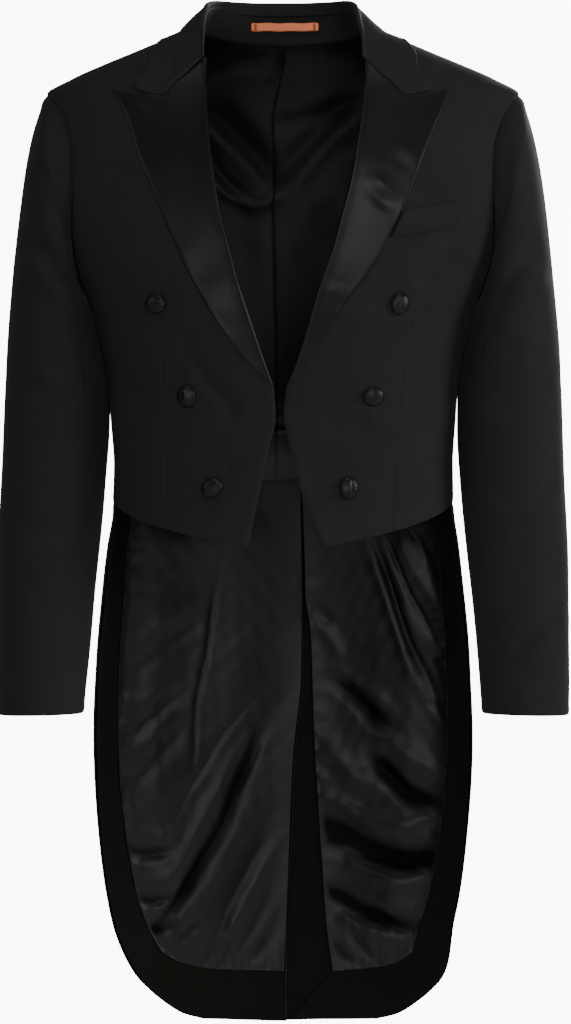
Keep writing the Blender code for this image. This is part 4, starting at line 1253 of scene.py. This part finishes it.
def build_sleeve(side, name):
    sides = 140
    points, normals = sleeve_surface(sides, 150)
    x, y, z = points[..., 0] * side, points[..., 1], points[..., 2]
    centre = points[:, :-1].mean(axis=1)[:, None, 1]
    ahead = smooth_step(-0.012, 0.012, centre - y)
    angle = np.linspace(0, 2 * math.pi, sides + 1)[None, :]
    from_armhole = border_distances(points)[0]
    head = 0.0009 * bell(from_armhole - 0.009, 0.006) * np.maximum(np.cos(angle), 0) ** 0.5
    folds = (ahead * crease_lift(x, z, SLEEVE_CREASES)
             + (1 - ahead) * crease_lift(x, z, SLEEVE_BACK_CREASES)
             + unevenness(points, "sleeve", side))
    lift = head + loose_from(0.012, from_armhole) * folds
    surface = raised(points, lift, normals)
    front_seam = FRONT_SLEEVE_SEAM * sides // SLEEVE_SIDES
    back_seam = BACK_SLEEVE_SEAM * sides // SLEEVE_SIDES
    halves = {
        "top_sleeve": (list(range(back_seam, sides)) + list(range(front_seam + 1)), 1.0, INNER_SEAM_SHARE),
        "under_sleeve": (list(range(front_seam, back_seam + 1)), INNER_SEAM_SHARE, 1.0),
    }
    for kind, (chosen, share_left, share_right) in halves.items():
        grid = surface[:, chosen]
        grid_normal = normals[:, chosen]
        top, bottom, left, right = border_distances(grid)
        more = (seam_profile(top) + edge_profile(bottom) + share_left * seam_profile(left)
                + share_right * seam_profile(right))
        outer = raised(grid, more, grid_normal)
        cloth_piece(kind, name, side, outer, grid_normal, WOOL_SHELL, WOOL_CLOTH)


# Lapels, collar and small pieces

def lapel_rise(share, down):
    """How far the lapel stands off the front, most along its roll and least at its foot."""
    return SATIN_LIFT + LAPEL_ROLL_RISE * (1 - share) ** 2 * (1 - 0.7 * smooth_step(0.75, 1.0, down))


def turned_back(surface, normals, radius, under):
    """Columns that carry the cloth round its roll and under itself by some lengths."""
    centre = surface[:, 0] - radius * normals
    toward = surface[:, 0] - surface[:, 12]
    toward = unit(toward - normals * np.sum(toward * normals, -1, keepdims=True))
    arc = []
    for angle in np.linspace(math.pi, math.pi / 12, 11):
        arc.append(centre + radius * (math.cos(angle) * normals + math.sin(angle) * toward))
    inside = [arc[0] - toward * length for length in under]
    return np.stack(inside + arc, 1)


def build_lapel(side, name):
    rows, half = 130, 22
    roll = resample(on_front(side_column(ROLL_LINE, side)), rows)
    edge = resample(on_front(side_column(LAPEL_EDGE, side)), rows)
    gorge = resample(on_front(side_column(GORGE, side)), half)
    peak = resample(on_front(side_column(PEAK, side)), half)
    top = joined(gorge, peak)
    bottom = resample((roll[-1], edge[-1]), len(top) - 1)
    cells = extra_rows(patch(top, bottom, roll, edge))
    down = np.linspace(0, 1, cells.shape[0])[:, None]
    radius = (lapel_rise(0.0, down) + WOOL_SHELL + SEAM_LAP) / 2
    cells = draw_in(cells, start=0.9 * radius[:, 0])
    points, normals, x = panel_places(cells, side)
    z = cells[..., 1]
    share = np.linspace(0, 1, cells.shape[1])[None, :]
    top_d, _, _, right_d = border_distances(points)
    folds = crease_lift(x, z, LAPEL_CREASES, 0.55) + unevenness(points, "lapel", side)
    lift = (lapel_rise(share, down) - LAPEL_EDGE_DIP * bell(right_d, LAPEL_EDGE_WIDTH)
            - LAPEL_EDGE_DIP * bell(top_d, LAPEL_EDGE_WIDTH)
            + loose_from(LAPEL_HOLD, right_d, top_d) * folds)
    surface = raised(points, lift, normals)
    roll_part = turned_back(surface, normals[:, 0], radius, LAPEL_TUCKS)
    outer = np.concatenate([roll_part, surface], 1)
    outer_normals = grid_normals(outer)
    outer_normals = facing_way(outer_normals, outer_normals[:, -9:] * normals[:, -9:])
    cloth_piece("lapel", name, side, outer, outer_normals, SATIN, SATIN_CLOTH, rim_reach=SATIN_RIM)


def collar_lines(cells):
    """Neck seam, fold and outer edge of half the collar, from centre back to the front."""
    roll_top = np.array([[(GORGE[0][1] + GORGE[0][2]) / 2, GORGE[0][0]]])
    front = resample(((90.0, NECK_SIDE_Z), *on_front(FRONT_NECK), on_front(roll_top)[0]), 3 * cells)
    seam = joined(neck_back(5 * cells), front)
    neck = body_point(seam[:, 0], seam[:, 1])
    fold = resample(COLLAR_FOLD, 8 * cells)
    outer = resample((*on_back(COLLAR_OUTER_BACK), (90.0, COLLAR_OUTER_SIDE_Z),
                      *on_front(COLLAR_OUTER_FRONT)), 8 * cells)
    return neck, fold, outer


def mirrored_row(grid):
    """Whole collar from its left half: columns run from the right front to the left front."""
    other = grid[:, :0:-1].copy()
    other[..., 0] *= -1
    return np.concatenate([other, grid], axis=1)


def outside_body(points, clear):
    """Points moved out of the worn form wherever they would lie within it."""
    x, y, z = points[..., 0], points[..., 1], points[..., 2]
    depth = np.where(y < 0, level("front_depth", z), level("back_depth", z)) + clear
    width = level("half_width", z) + clear
    share = (np.abs(x) / width) ** ROUNDNESS + (np.abs(y) / depth) ** ROUNDNESS
    scale = np.where(share < 1, np.maximum(share, 0.01) ** (-1 / ROUNDNESS), 1.0)
    return np.stack([x * scale, y * scale, z], -1)


def stand_surface(cells, rows):
    """Outer grid of the stand and its outward normals."""
    neck = collar_lines(cells)[0][:-cells]
    top = resample(COLLAR_FOLD[:-1], len(neck) - 1) - STAND_DROP * UP
    down = np.linspace(1, 0, rows + 1)[:, None, None]
    lower = neck * np.array([STAND_INSET, 1.0, 1.0]) + 2 * SEAM_LAP * UP
    outer = mirrored_row(down * top + (1 - down) * lower)
    normals = grid_normals(outer)
    return outer, facing_way(normals, normals * outer * LEVEL)


def build_stand():
    outer, normals = stand_surface(COLLAR_CELLS, STAND_ROWS)
    outer = raised(outer, unevenness(outer, "collar_stand"), normals)
    cloth_piece("collar_stand", None, 1, outer, normals, WOOL, WOOL_CLOTH)


def build_fall():
    rows = 26
    neck, fold, edge_cells = collar_lines(COLLAR_CELLS)
    edge = body_point(edge_cells[:, 0], edge_cells[:, 1])
    edge += COLLAR_EDGE_LIFT * body_normal(edge_cells[:, 0], edge_cells[:, 1])
    crest = fold + CREST_RISE * UP
    shares = np.linspace(0, 1, rows + 1)
    gorge = np.array([((row[1] + row[2]) / 2, row[0] + COLLAR_END_GAP) for row in GORGE])
    notch = (np.array(PEAK[1][1:]).mean(), PEAK[1][0] + 2 * COLLAR_END_GAP)
    end_cells = resample(on_front((*gorge, notch)), rows)
    end = body_point(end_cells[:, 0], end_cells[:, 1])
    end_lift = lapel_rise(shares * 0.6, 0.0) - SEAM_LAP
    end += end_lift[:, None] * body_normal(end_cells[:, 0], end_cells[:, 1])
    end[0] = crest[-1]
    edge[-1] = end[-1]
    start = crest[0] + (edge[0] - crest[0]) * shares[:, None]
    half = patch(crest, edge, start, end)
    outward = unit(half * LEVEL)
    bulge = FALL_BULGE * np.sin(math.pi * shares)[:, None]
    ahead = smooth_step(0.86, 1.0, np.linspace(0, 1, half.shape[1]))[None, :]
    half = half + (bulge * (1 - ahead))[..., None] * outward
    half = outside_body(half, COLLAR_EDGE_LIFT)
    inner = mirrored_row(half)
    normals = grid_normals(inner)
    normals = facing_way(normals, normals * inner * LEVEL)
    outer = inner + WOOL_SHELL * normals
    _, bottom, left, right = border_distances(outer)
    lift = (edge_profile(bottom) + edge_profile(left) + edge_profile(right)
            + loose_from(0.008, bottom, left, right) * unevenness(outer, "collar_fall"))
    outer = raised(outer, lift, normals)
    out = unit(outer[0] * LEVEL)
    inward_run = unit(mirrored_row(np.stack([neck - fold, neck - fold]))[0])
    to_end = smooth_step(0.62, 1.0, np.abs(np.linspace(-1, 1, outer.shape[1])))[:, None]
    slimness = 1 - (1 - CREST_END_SHARE) * to_end
    radius = CREST_RADIUS * slimness
    centre = outer[0] - radius * out
    crest_rows = []
    for angle in np.linspace(math.pi, math.pi / 10, 9):
        crest_rows.append(centre + radius * (math.cos(angle) * out + math.sin(angle) * UP))
    first = crest_rows[0]
    inside = [first + inward_run * length * slimness for length in FALL_TUCKS]
    outer = np.concatenate([np.stack(inside + crest_rows), outer])
    outer[..., 0] -= FALL_LEAN * smooth_step(0.006, 0.034, outer[..., 2])
    outer_normals = grid_normals(outer)
    outer_normals = facing_way(outer_normals, outer_normals[-12:] * normals[-12:])
    cloth_piece("collar_fall", None, 1, outer, outer_normals, WOOL_SHELL, WOOL_CLOTH)


def build_welt():
    top = resample(on_front(WELT_TOP), 60)
    bottom = resample(on_front(WELT_BOTTOM), 60)
    cells = patch(top, bottom, resample((top[0], bottom[0]), 18), resample((top[-1], bottom[-1]), 18))
    cells = extra_rows(cells)
    points, normals, _ = panel_places(cells, 1)
    top_d, bottom_d, _, right = border_distances(points)
    lift = (WELT_THICKNESS + WELT_CLEAR + edge_profile(top_d) + edge_profile(right)
            - WELT_FOOT_DIP * bell(bottom_d, WELT_FOOT_WIDTH) + unevenness(points, "breast_welt"))
    outer = raised(points, lift, normals)
    cloth_piece("breast_welt", None, 1, outer, normals, WELT_THICKNESS, WOOL_CLOTH)


def build_button(name, x, z, side, ridge_angle):
    """Covered button: a dome of satin with a pinched ridge, over a rolled rim."""
    turn = front_turn(x, z)
    normal = body_normal(turn, z)
    place = body_point(turn, z) + BUTTON_CLEAR * normal
    right = unit(np.cross(UP, normal))
    up = np.cross(normal, right)
    spokes = BUTTON_SPOKES
    angle = np.linspace(0, 2 * math.pi, spokes, endpoint=False)
    ridge = math.radians(ridge_angle)
    lengthwise = math.cos(ridge) * right + math.sin(ridge) * up
    crosswise = math.cos(ridge) * up - math.sin(ridge) * right
    rings = []
    for radius, height in BUTTON_PROFILE:
        wobble = 1 + BUTTON_WOBBLE * np.sin(3 * angle + ridge_angle)
        along = radius * np.cos(angle - ridge)
        away = radius * np.sin(angle - ridge)
        pinch = RIDGE_HEIGHT * bell(away, RIDGE_WIDTH) * smooth_step(0.0, 0.004, height)
        pinch = pinch * (1 - smooth_step(0.006, 0.0105, np.abs(along)))
        flutes = FLUTE_HEIGHT * np.sin(FLUTES * angle) * smooth_step(0.006, 0.0095, radius) * (height > 0.001)
        spread = (BUTTON_LENGTHWISE * along * wobble)[:, None] * lengthwise
        spread = spread + (BUTTON_CROSSWISE * away * wobble)[:, None] * crosswise
        rings.append(place + spread + (height + pinch + flutes)[:, None] * normal)
    points = np.concatenate(rings + [[place + BUTTON_TOP * normal, place]])
    points[:, 0] *= side
    count = len(rings)
    ids = np.arange(count * spokes).reshape(count, spokes)
    after = np.roll(ids, -1, axis=1)
    faces = np.stack([ids[:-1], after[:-1], after[1:], ids[1:]], -1).reshape(-1, 4).tolist()
    faces += [(a, b, count * spokes) for a, b in zip(ids[-1], after[-1])]
    faces += [(b, a, count * spokes + 1) for a, b in zip(ids[0], after[0])]
    if side < 0:
        faces = [tuple(reversed(face)) for face in faces]
    flat = np.stack([points @ right, points @ up], -1)
    item = mesh_object(name, points, faces, SATIN_CLOTH, flat)
    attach(item, "root")
    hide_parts(name)


def build_buttons(side, name):
    for number, row in enumerate(BUTTON_PLACES, start=1):
        button = dict(zip(BUTTON_COLUMNS, row))
        build_button(f"button_{name}_{number}", button[name], button["z"], side, button[name + "_ridge"])


def build_loop():
    """Ribbon loop on the inside of the stand, tacked down at both ends."""
    low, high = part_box("hanger_loop")
    outer, normals = stand_surface(COLLAR_CELLS, STAND_ROWS)
    inside = outer - WOOL * normals
    across = np.linspace(low.x + LOOP_INSETS["right"], high.x - LOOP_INSETS["left"], 60)
    height = high.z - low.z - LOOP_INSETS["both"]
    first, last = LOOP_SHARES
    rows = []
    for share in np.linspace(first, last, 9):
        row = inside[int(round((1 - share) * STAND_ROWS))]
        order = np.argsort(row[:, 0])
        keep = row[order][row[order][:, 1] > 0.03]
        y = np.interp(across, keep[:, 0], keep[:, 1])
        z = low.z + LOOP_INSETS["low"] + height * (last - share) / (last - first)
        rows.append(np.stack([across, y - LOOP_CLEAR, z + 0 * across], -1))
    grid = np.array(rows)
    centre = (across - across.mean()) / (across[-1] - across[0]) * 2
    grid[..., 1] -= LOOP_BOW * (1 - np.abs(centre) ** 4)[None, :]
    grid[..., 2] += LOOP_RIPPLE * np.sin(centre * 9.0)[None, :]
    grid_normal = grid_normals(grid)
    grid_normal = facing_way(grid_normal, -grid_normal[..., 1])
    cloth_piece("hanger_loop", None, 1, grid, grid_normal, RIBBON, RIBBON_CLOTH)
    for name, x in (("right", across[0] + TACK_INSET), ("left", across[-1] - TACK_INSET)):
        column = int(np.argmin(np.abs(across - x)))
        build_tack("loop_tack_" + name, grid[:, column] + TACK_RISE * grid_normal[:, column])


def build_tack(name, line):
    """Dense bar of stitches over the ribbon."""
    at = np.linspace(0, len(line) - 1, TACK_STEPS)
    centre = np.stack([np.interp(at, np.arange(len(line)), line[:, k]) for k in range(3)], -1)
    wide, deep, high = TACK_RADII
    points, faces = [], []
    for k, place in enumerate(centre):
        for j in range(TACK_SIDES):
            angle = 2 * math.pi * j / TACK_SIDES
            points.append(place + np.array([wide * math.cos(angle) * TACK_SPREAD,
                                            -deep * math.sin(angle) - TACK_SINK,
                                            high * math.cos(angle + k)]))
    for k in range(TACK_STEPS - 1):
        for j in range(TACK_SIDES):
            a, b = k * TACK_SIDES + j, k * TACK_SIDES + (j + 1) % TACK_SIDES
            faces.append((a, b, b + TACK_SIDES, a + TACK_SIDES))
    faces.append(tuple(reversed(range(TACK_SIDES))))
    faces.append(tuple((TACK_STEPS - 1) * TACK_SIDES + j for j in range(TACK_SIDES)))
    item = mesh_object(name, np.array(points), faces, TACK_THREAD)
    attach(item, "root")


# Linings and facings

def build_back_lining(side, name):
    down = 13
    cells = back_cells(side, 8, down)[:16 * down + 1]
    cells = draw_in(draw_down(cells, BACK_LINING_MARGIN, LINING_SEAM_RISE), end=ARMHOLE_MARGIN)
    cells = extra_rows(cells)
    to_centre = smooth_step(130.0, 180.0, cells[..., 0])
    cells[..., 0] += side * CENTRE_SEAM_SHIFT * to_centre * smooth_step(-0.010, 0.070, -cells[..., 1])
    points, normals, x = panel_places(cells, side)
    z = points[..., 2]
    top, bottom, left, right = border_distances(points)
    loose = loose_from(BACK_LINING_HOLD, top, right, bottom)
    folds = crease_lift(x, z, BACK_LINING_CREASES) * loose_from(FOLD_HOLD, top, right, bottom)
    relief = (BACK_LINING_FULLNESS * loose - SEAM_SINK * bell(bottom, SEAM_SINK_WIDTH) + folds
              + puckers(x, top, "neck")
              + unevenness(points, "back_lining") * loose
              - CENTRE_SINK * bell(left, CENTRE_SINK_WIDTH))
    relief = soft_floor(relief, *BACK_LINING_FLOOR)
    outer = raised(points, -(WOOL + LINING_CLEAR + relief), normals)
    item = cloth_piece("back_lining", name, side, outer, normals, LINING, BODY_LINING, rim_reach=LINING_RIM)
    # Painted shade: darker under the collar stand and in the troughs of the creases.
    painted_stand_shadow = 0.55 * bell(top, 0.055)
    mark_painted_shade(item, np.clip(painted_stand_shadow - 0.7 * folds / PAINTED_SHADE_DEPTH, 0, 1), points[..., 0].size)
    # Painted light: faces below the waist fold take the lighter copy of the lining satin.
    item.data.materials.append(PAINTED_LIGHT_LINING)
    faces = item.data.polygons
    heights = np.zeros(3 * len(faces), np.float32)
    faces.foreach_get("center", heights)
    faces.foreach_set("material_index", (heights[2::3] < PAINTED_LIGHT_BELOW_Z).astype(np.int32))


def build_tail_lining(side, name):
    creases = TAIL_CREASES_LEFT if side > 0 else TAIL_CREASES_RIGHT
    cells = extra_rows(tail_lining_cells(side, 92, 210))
    points, normals, x = panel_places(cells, side)
    z = cells[..., 1]
    top, bottom, left, right = border_distances(points)
    nearest = np.minimum(np.minimum(bottom, left), right)
    sewn = smooth_step(-0.003, 0.008, nearest) * smooth_step(0.0, 0.020, top)
    full = (smooth_step(0.0, 0.050, left) * smooth_step(0.0, 0.080, right)
            * smooth_step(0.0, 0.060, bottom) * smooth_step(0.0, 0.060, top))
    wander = unevenness(points, "tail_folds", side)
    folds = crease_lift(x + wander, z + wander[::-1], creases, 0.34) * sewn
    relief = (LINING_FULLNESS * full - SEAM_SINK * bell(top, SEAM_SINK_WIDTH) + folds
              + puckers(z, left, "tail_front", side)
              + puckers(x, bottom, "tail_hem", side)
              + puckers(z, right, "tail_centre_" + name, side)
              + unevenness(points, "tail_lining", side) * sewn
              + unevenness(points, "tail_lining_small", side) * sewn)
    relief = soft_floor(relief, *TAIL_LINING_FLOOR)
    outer = raised(points, -(WOOL + LINING_CLEAR + relief), normals)
    item = cloth_piece("tail_lining", name, side, outer, normals, LINING, LINING_CLOTH, rim_reach=LINING_RIM)
    # Painted shade in the troughs of the creases.
    mark_painted_shade(item, np.clip(-folds / PAINTED_SHADE_DEPTH, 0, 1) ** 1.5, points[..., 0].size)


def build_facing(side, name):
    cells = tail_lining_cells(side, 40, 110)
    inner = np.concatenate([cells[:, 0], cells[-1, 1:]])
    wool_front = resample(TAIL_FRONT_EDGE, 110)
    wool_hem = resample((*TAIL_HEM, (FACING_END_TURNS[name], HEM_Z)), 40)
    wool = joined(wool_front, wool_hem)
    across = np.linspace(0, 1, 15)[None, :, None]
    cells = extra_rows(draw_in((1 - across) * wool[:, None] + across * inner[:, None], start=FACING_INSET))
    points, normals, _ = panel_places(cells, side)
    _, from_end, left, _ = border_distances(points)
    flush = 1 - smooth_step(0.0, FACING_FLUSH_REACH, from_end)
    lift = -(WOOL + LINING_CLEAR) * (1 - flush) - (WOOL_SHELL + SEAM_LAP) * flush
    lift = lift + FACING_EDGE_RISE * bell(left, FACING_EDGE_WIDTH) * (1 - flush)
    lift = lift + unevenness(points, "tail_facing", side)
    outer = raised(points, lift, normals)
    thickness = (FACING - (FACING - FACING_END) * flush)[..., None]
    cloth_piece("tail_facing", name, side, outer, normals, thickness, WOOL_INSIDE, rim_reach=LINING_RIM)


# Stage

CAMERA_PLACE = (0.00258, -4.0, -0.476)
CAMERA_LENS = 136.5
FLOOR_Z = -1.47
FLOOR_RADIUS = 3.2
FLOOR_SIDES = 96
WORLD_LIGHT = 0.03
BACKDROP_LIGHT = 10.0
LIGHT_TARGET = (0.0, 0.0, -0.45)

# Disks of light: name, place, size and power
LIGHTS = (
    ("key", (1.10, -3.80, 1.05), 1.0, 35.0),
    ("front_fill", (-1.15, -4.1, -0.30), 1.2, 30.0),
    ("top", (0.0, -1.0, 3.1), 1.6, 30.0),
    ("right_side", (3.6, -1.0, 0.5), 1.6, 80.0),
    ("left_side", (-3.2, -1.9, 1.2), 1.6, 16.0),
    ("axis", (0.15, -4.5, -0.40), 0.7, 12.0),
    ("behind", (1.9, 3.3, 1.3), 1.6, 95.0),
)


def add_camera():
    data = bpy.data.cameras.new("photo_view")
    data.lens = CAMERA_LENS
    data.sensor_width = 36.0
    item = bpy.data.objects.new("photo_view", data)
    item.location = CAMERA_PLACE
    item.rotation_euler = (math.radians(90), 0.0, 0.0)
    bpy.context.scene.collection.objects.link(item)
    bpy.context.scene.camera = item


def add_area_light(name, place, size, power):
    data = bpy.data.lights.new(name, "AREA")
    data.shape = "DISK"
    data.size = size
    data.energy = power
    item = bpy.data.objects.new(name, data)
    item.location = place
    direction = np.array(LIGHT_TARGET) - np.array(place)
    horizontal = math.hypot(direction[0], direction[1])
    item.rotation_euler = (math.atan2(horizontal, -direction[2]), 0.0,
                           math.atan2(direction[1], direction[0]) - math.pi / 2)
    bpy.context.scene.collection.objects.link(item)


def add_stage():
    world = bpy.data.worlds.new("studio")
    world.use_nodes = True
    tree = world.node_tree
    background = tree.nodes["Background"]
    background.inputs["Color"].default_value = (1.0, 1.0, 1.0, 1.0)
    background.inputs["Strength"].default_value = WORLD_LIGHT
    backdrop = add_node(tree, "ShaderNodeBackground", Strength=BACKDROP_LIGHT)
    backdrop.inputs["Color"].default_value = (1.0, 1.0, 1.0, 1.0)
    seen = add_node(tree, "ShaderNodeLightPath")
    mix = add_node(tree, "ShaderNodeMixShader")
    tree.links.new(seen.outputs["Is Camera Ray"], mix.inputs[0])
    tree.links.new(background.outputs[0], mix.inputs[1])
    tree.links.new(backdrop.outputs[0], mix.inputs[2])
    tree.links.new(mix.outputs[0], tree.nodes["World Output"].inputs["Surface"])
    bpy.context.scene.world = world
    angles = np.linspace(0, 2 * math.pi, FLOOR_SIDES, endpoint=False)
    rim = [(FLOOR_RADIUS * math.cos(angle), FLOOR_RADIUS * math.sin(angle), FLOOR_Z) for angle in angles]
    mesh = bpy.data.meshes.new("floor")
    mesh.from_pydata(rim, [], [tuple(range(FLOOR_SIDES))])
    floor = bpy.data.objects.new("floor", mesh)
    material, _, _ = new_material("pale_floor", (0.86, 0.86, 0.86), 0.7, 0.2)
    mesh.materials.append(material)
    bpy.context.scene.collection.objects.link(floor)


def main():
    add_camera()
    add_stage()
    for light in LIGHTS:
        add_area_light(*light)
    for side, name in ((1, "left"), (-1, "right")):
        build_front(side, name)
        build_side_body(side, name)
        build_back(side, name)
        build_skirt(side, name)
        build_sleeve(side, name)
        build_lapel(side, name)
        build_buttons(side, name)
        build_back_lining(side, name)
        build_tail_lining(side, name)
        build_facing(side, name)
    build_stand()
    build_fall()
    build_welt()
    build_loop()


main()
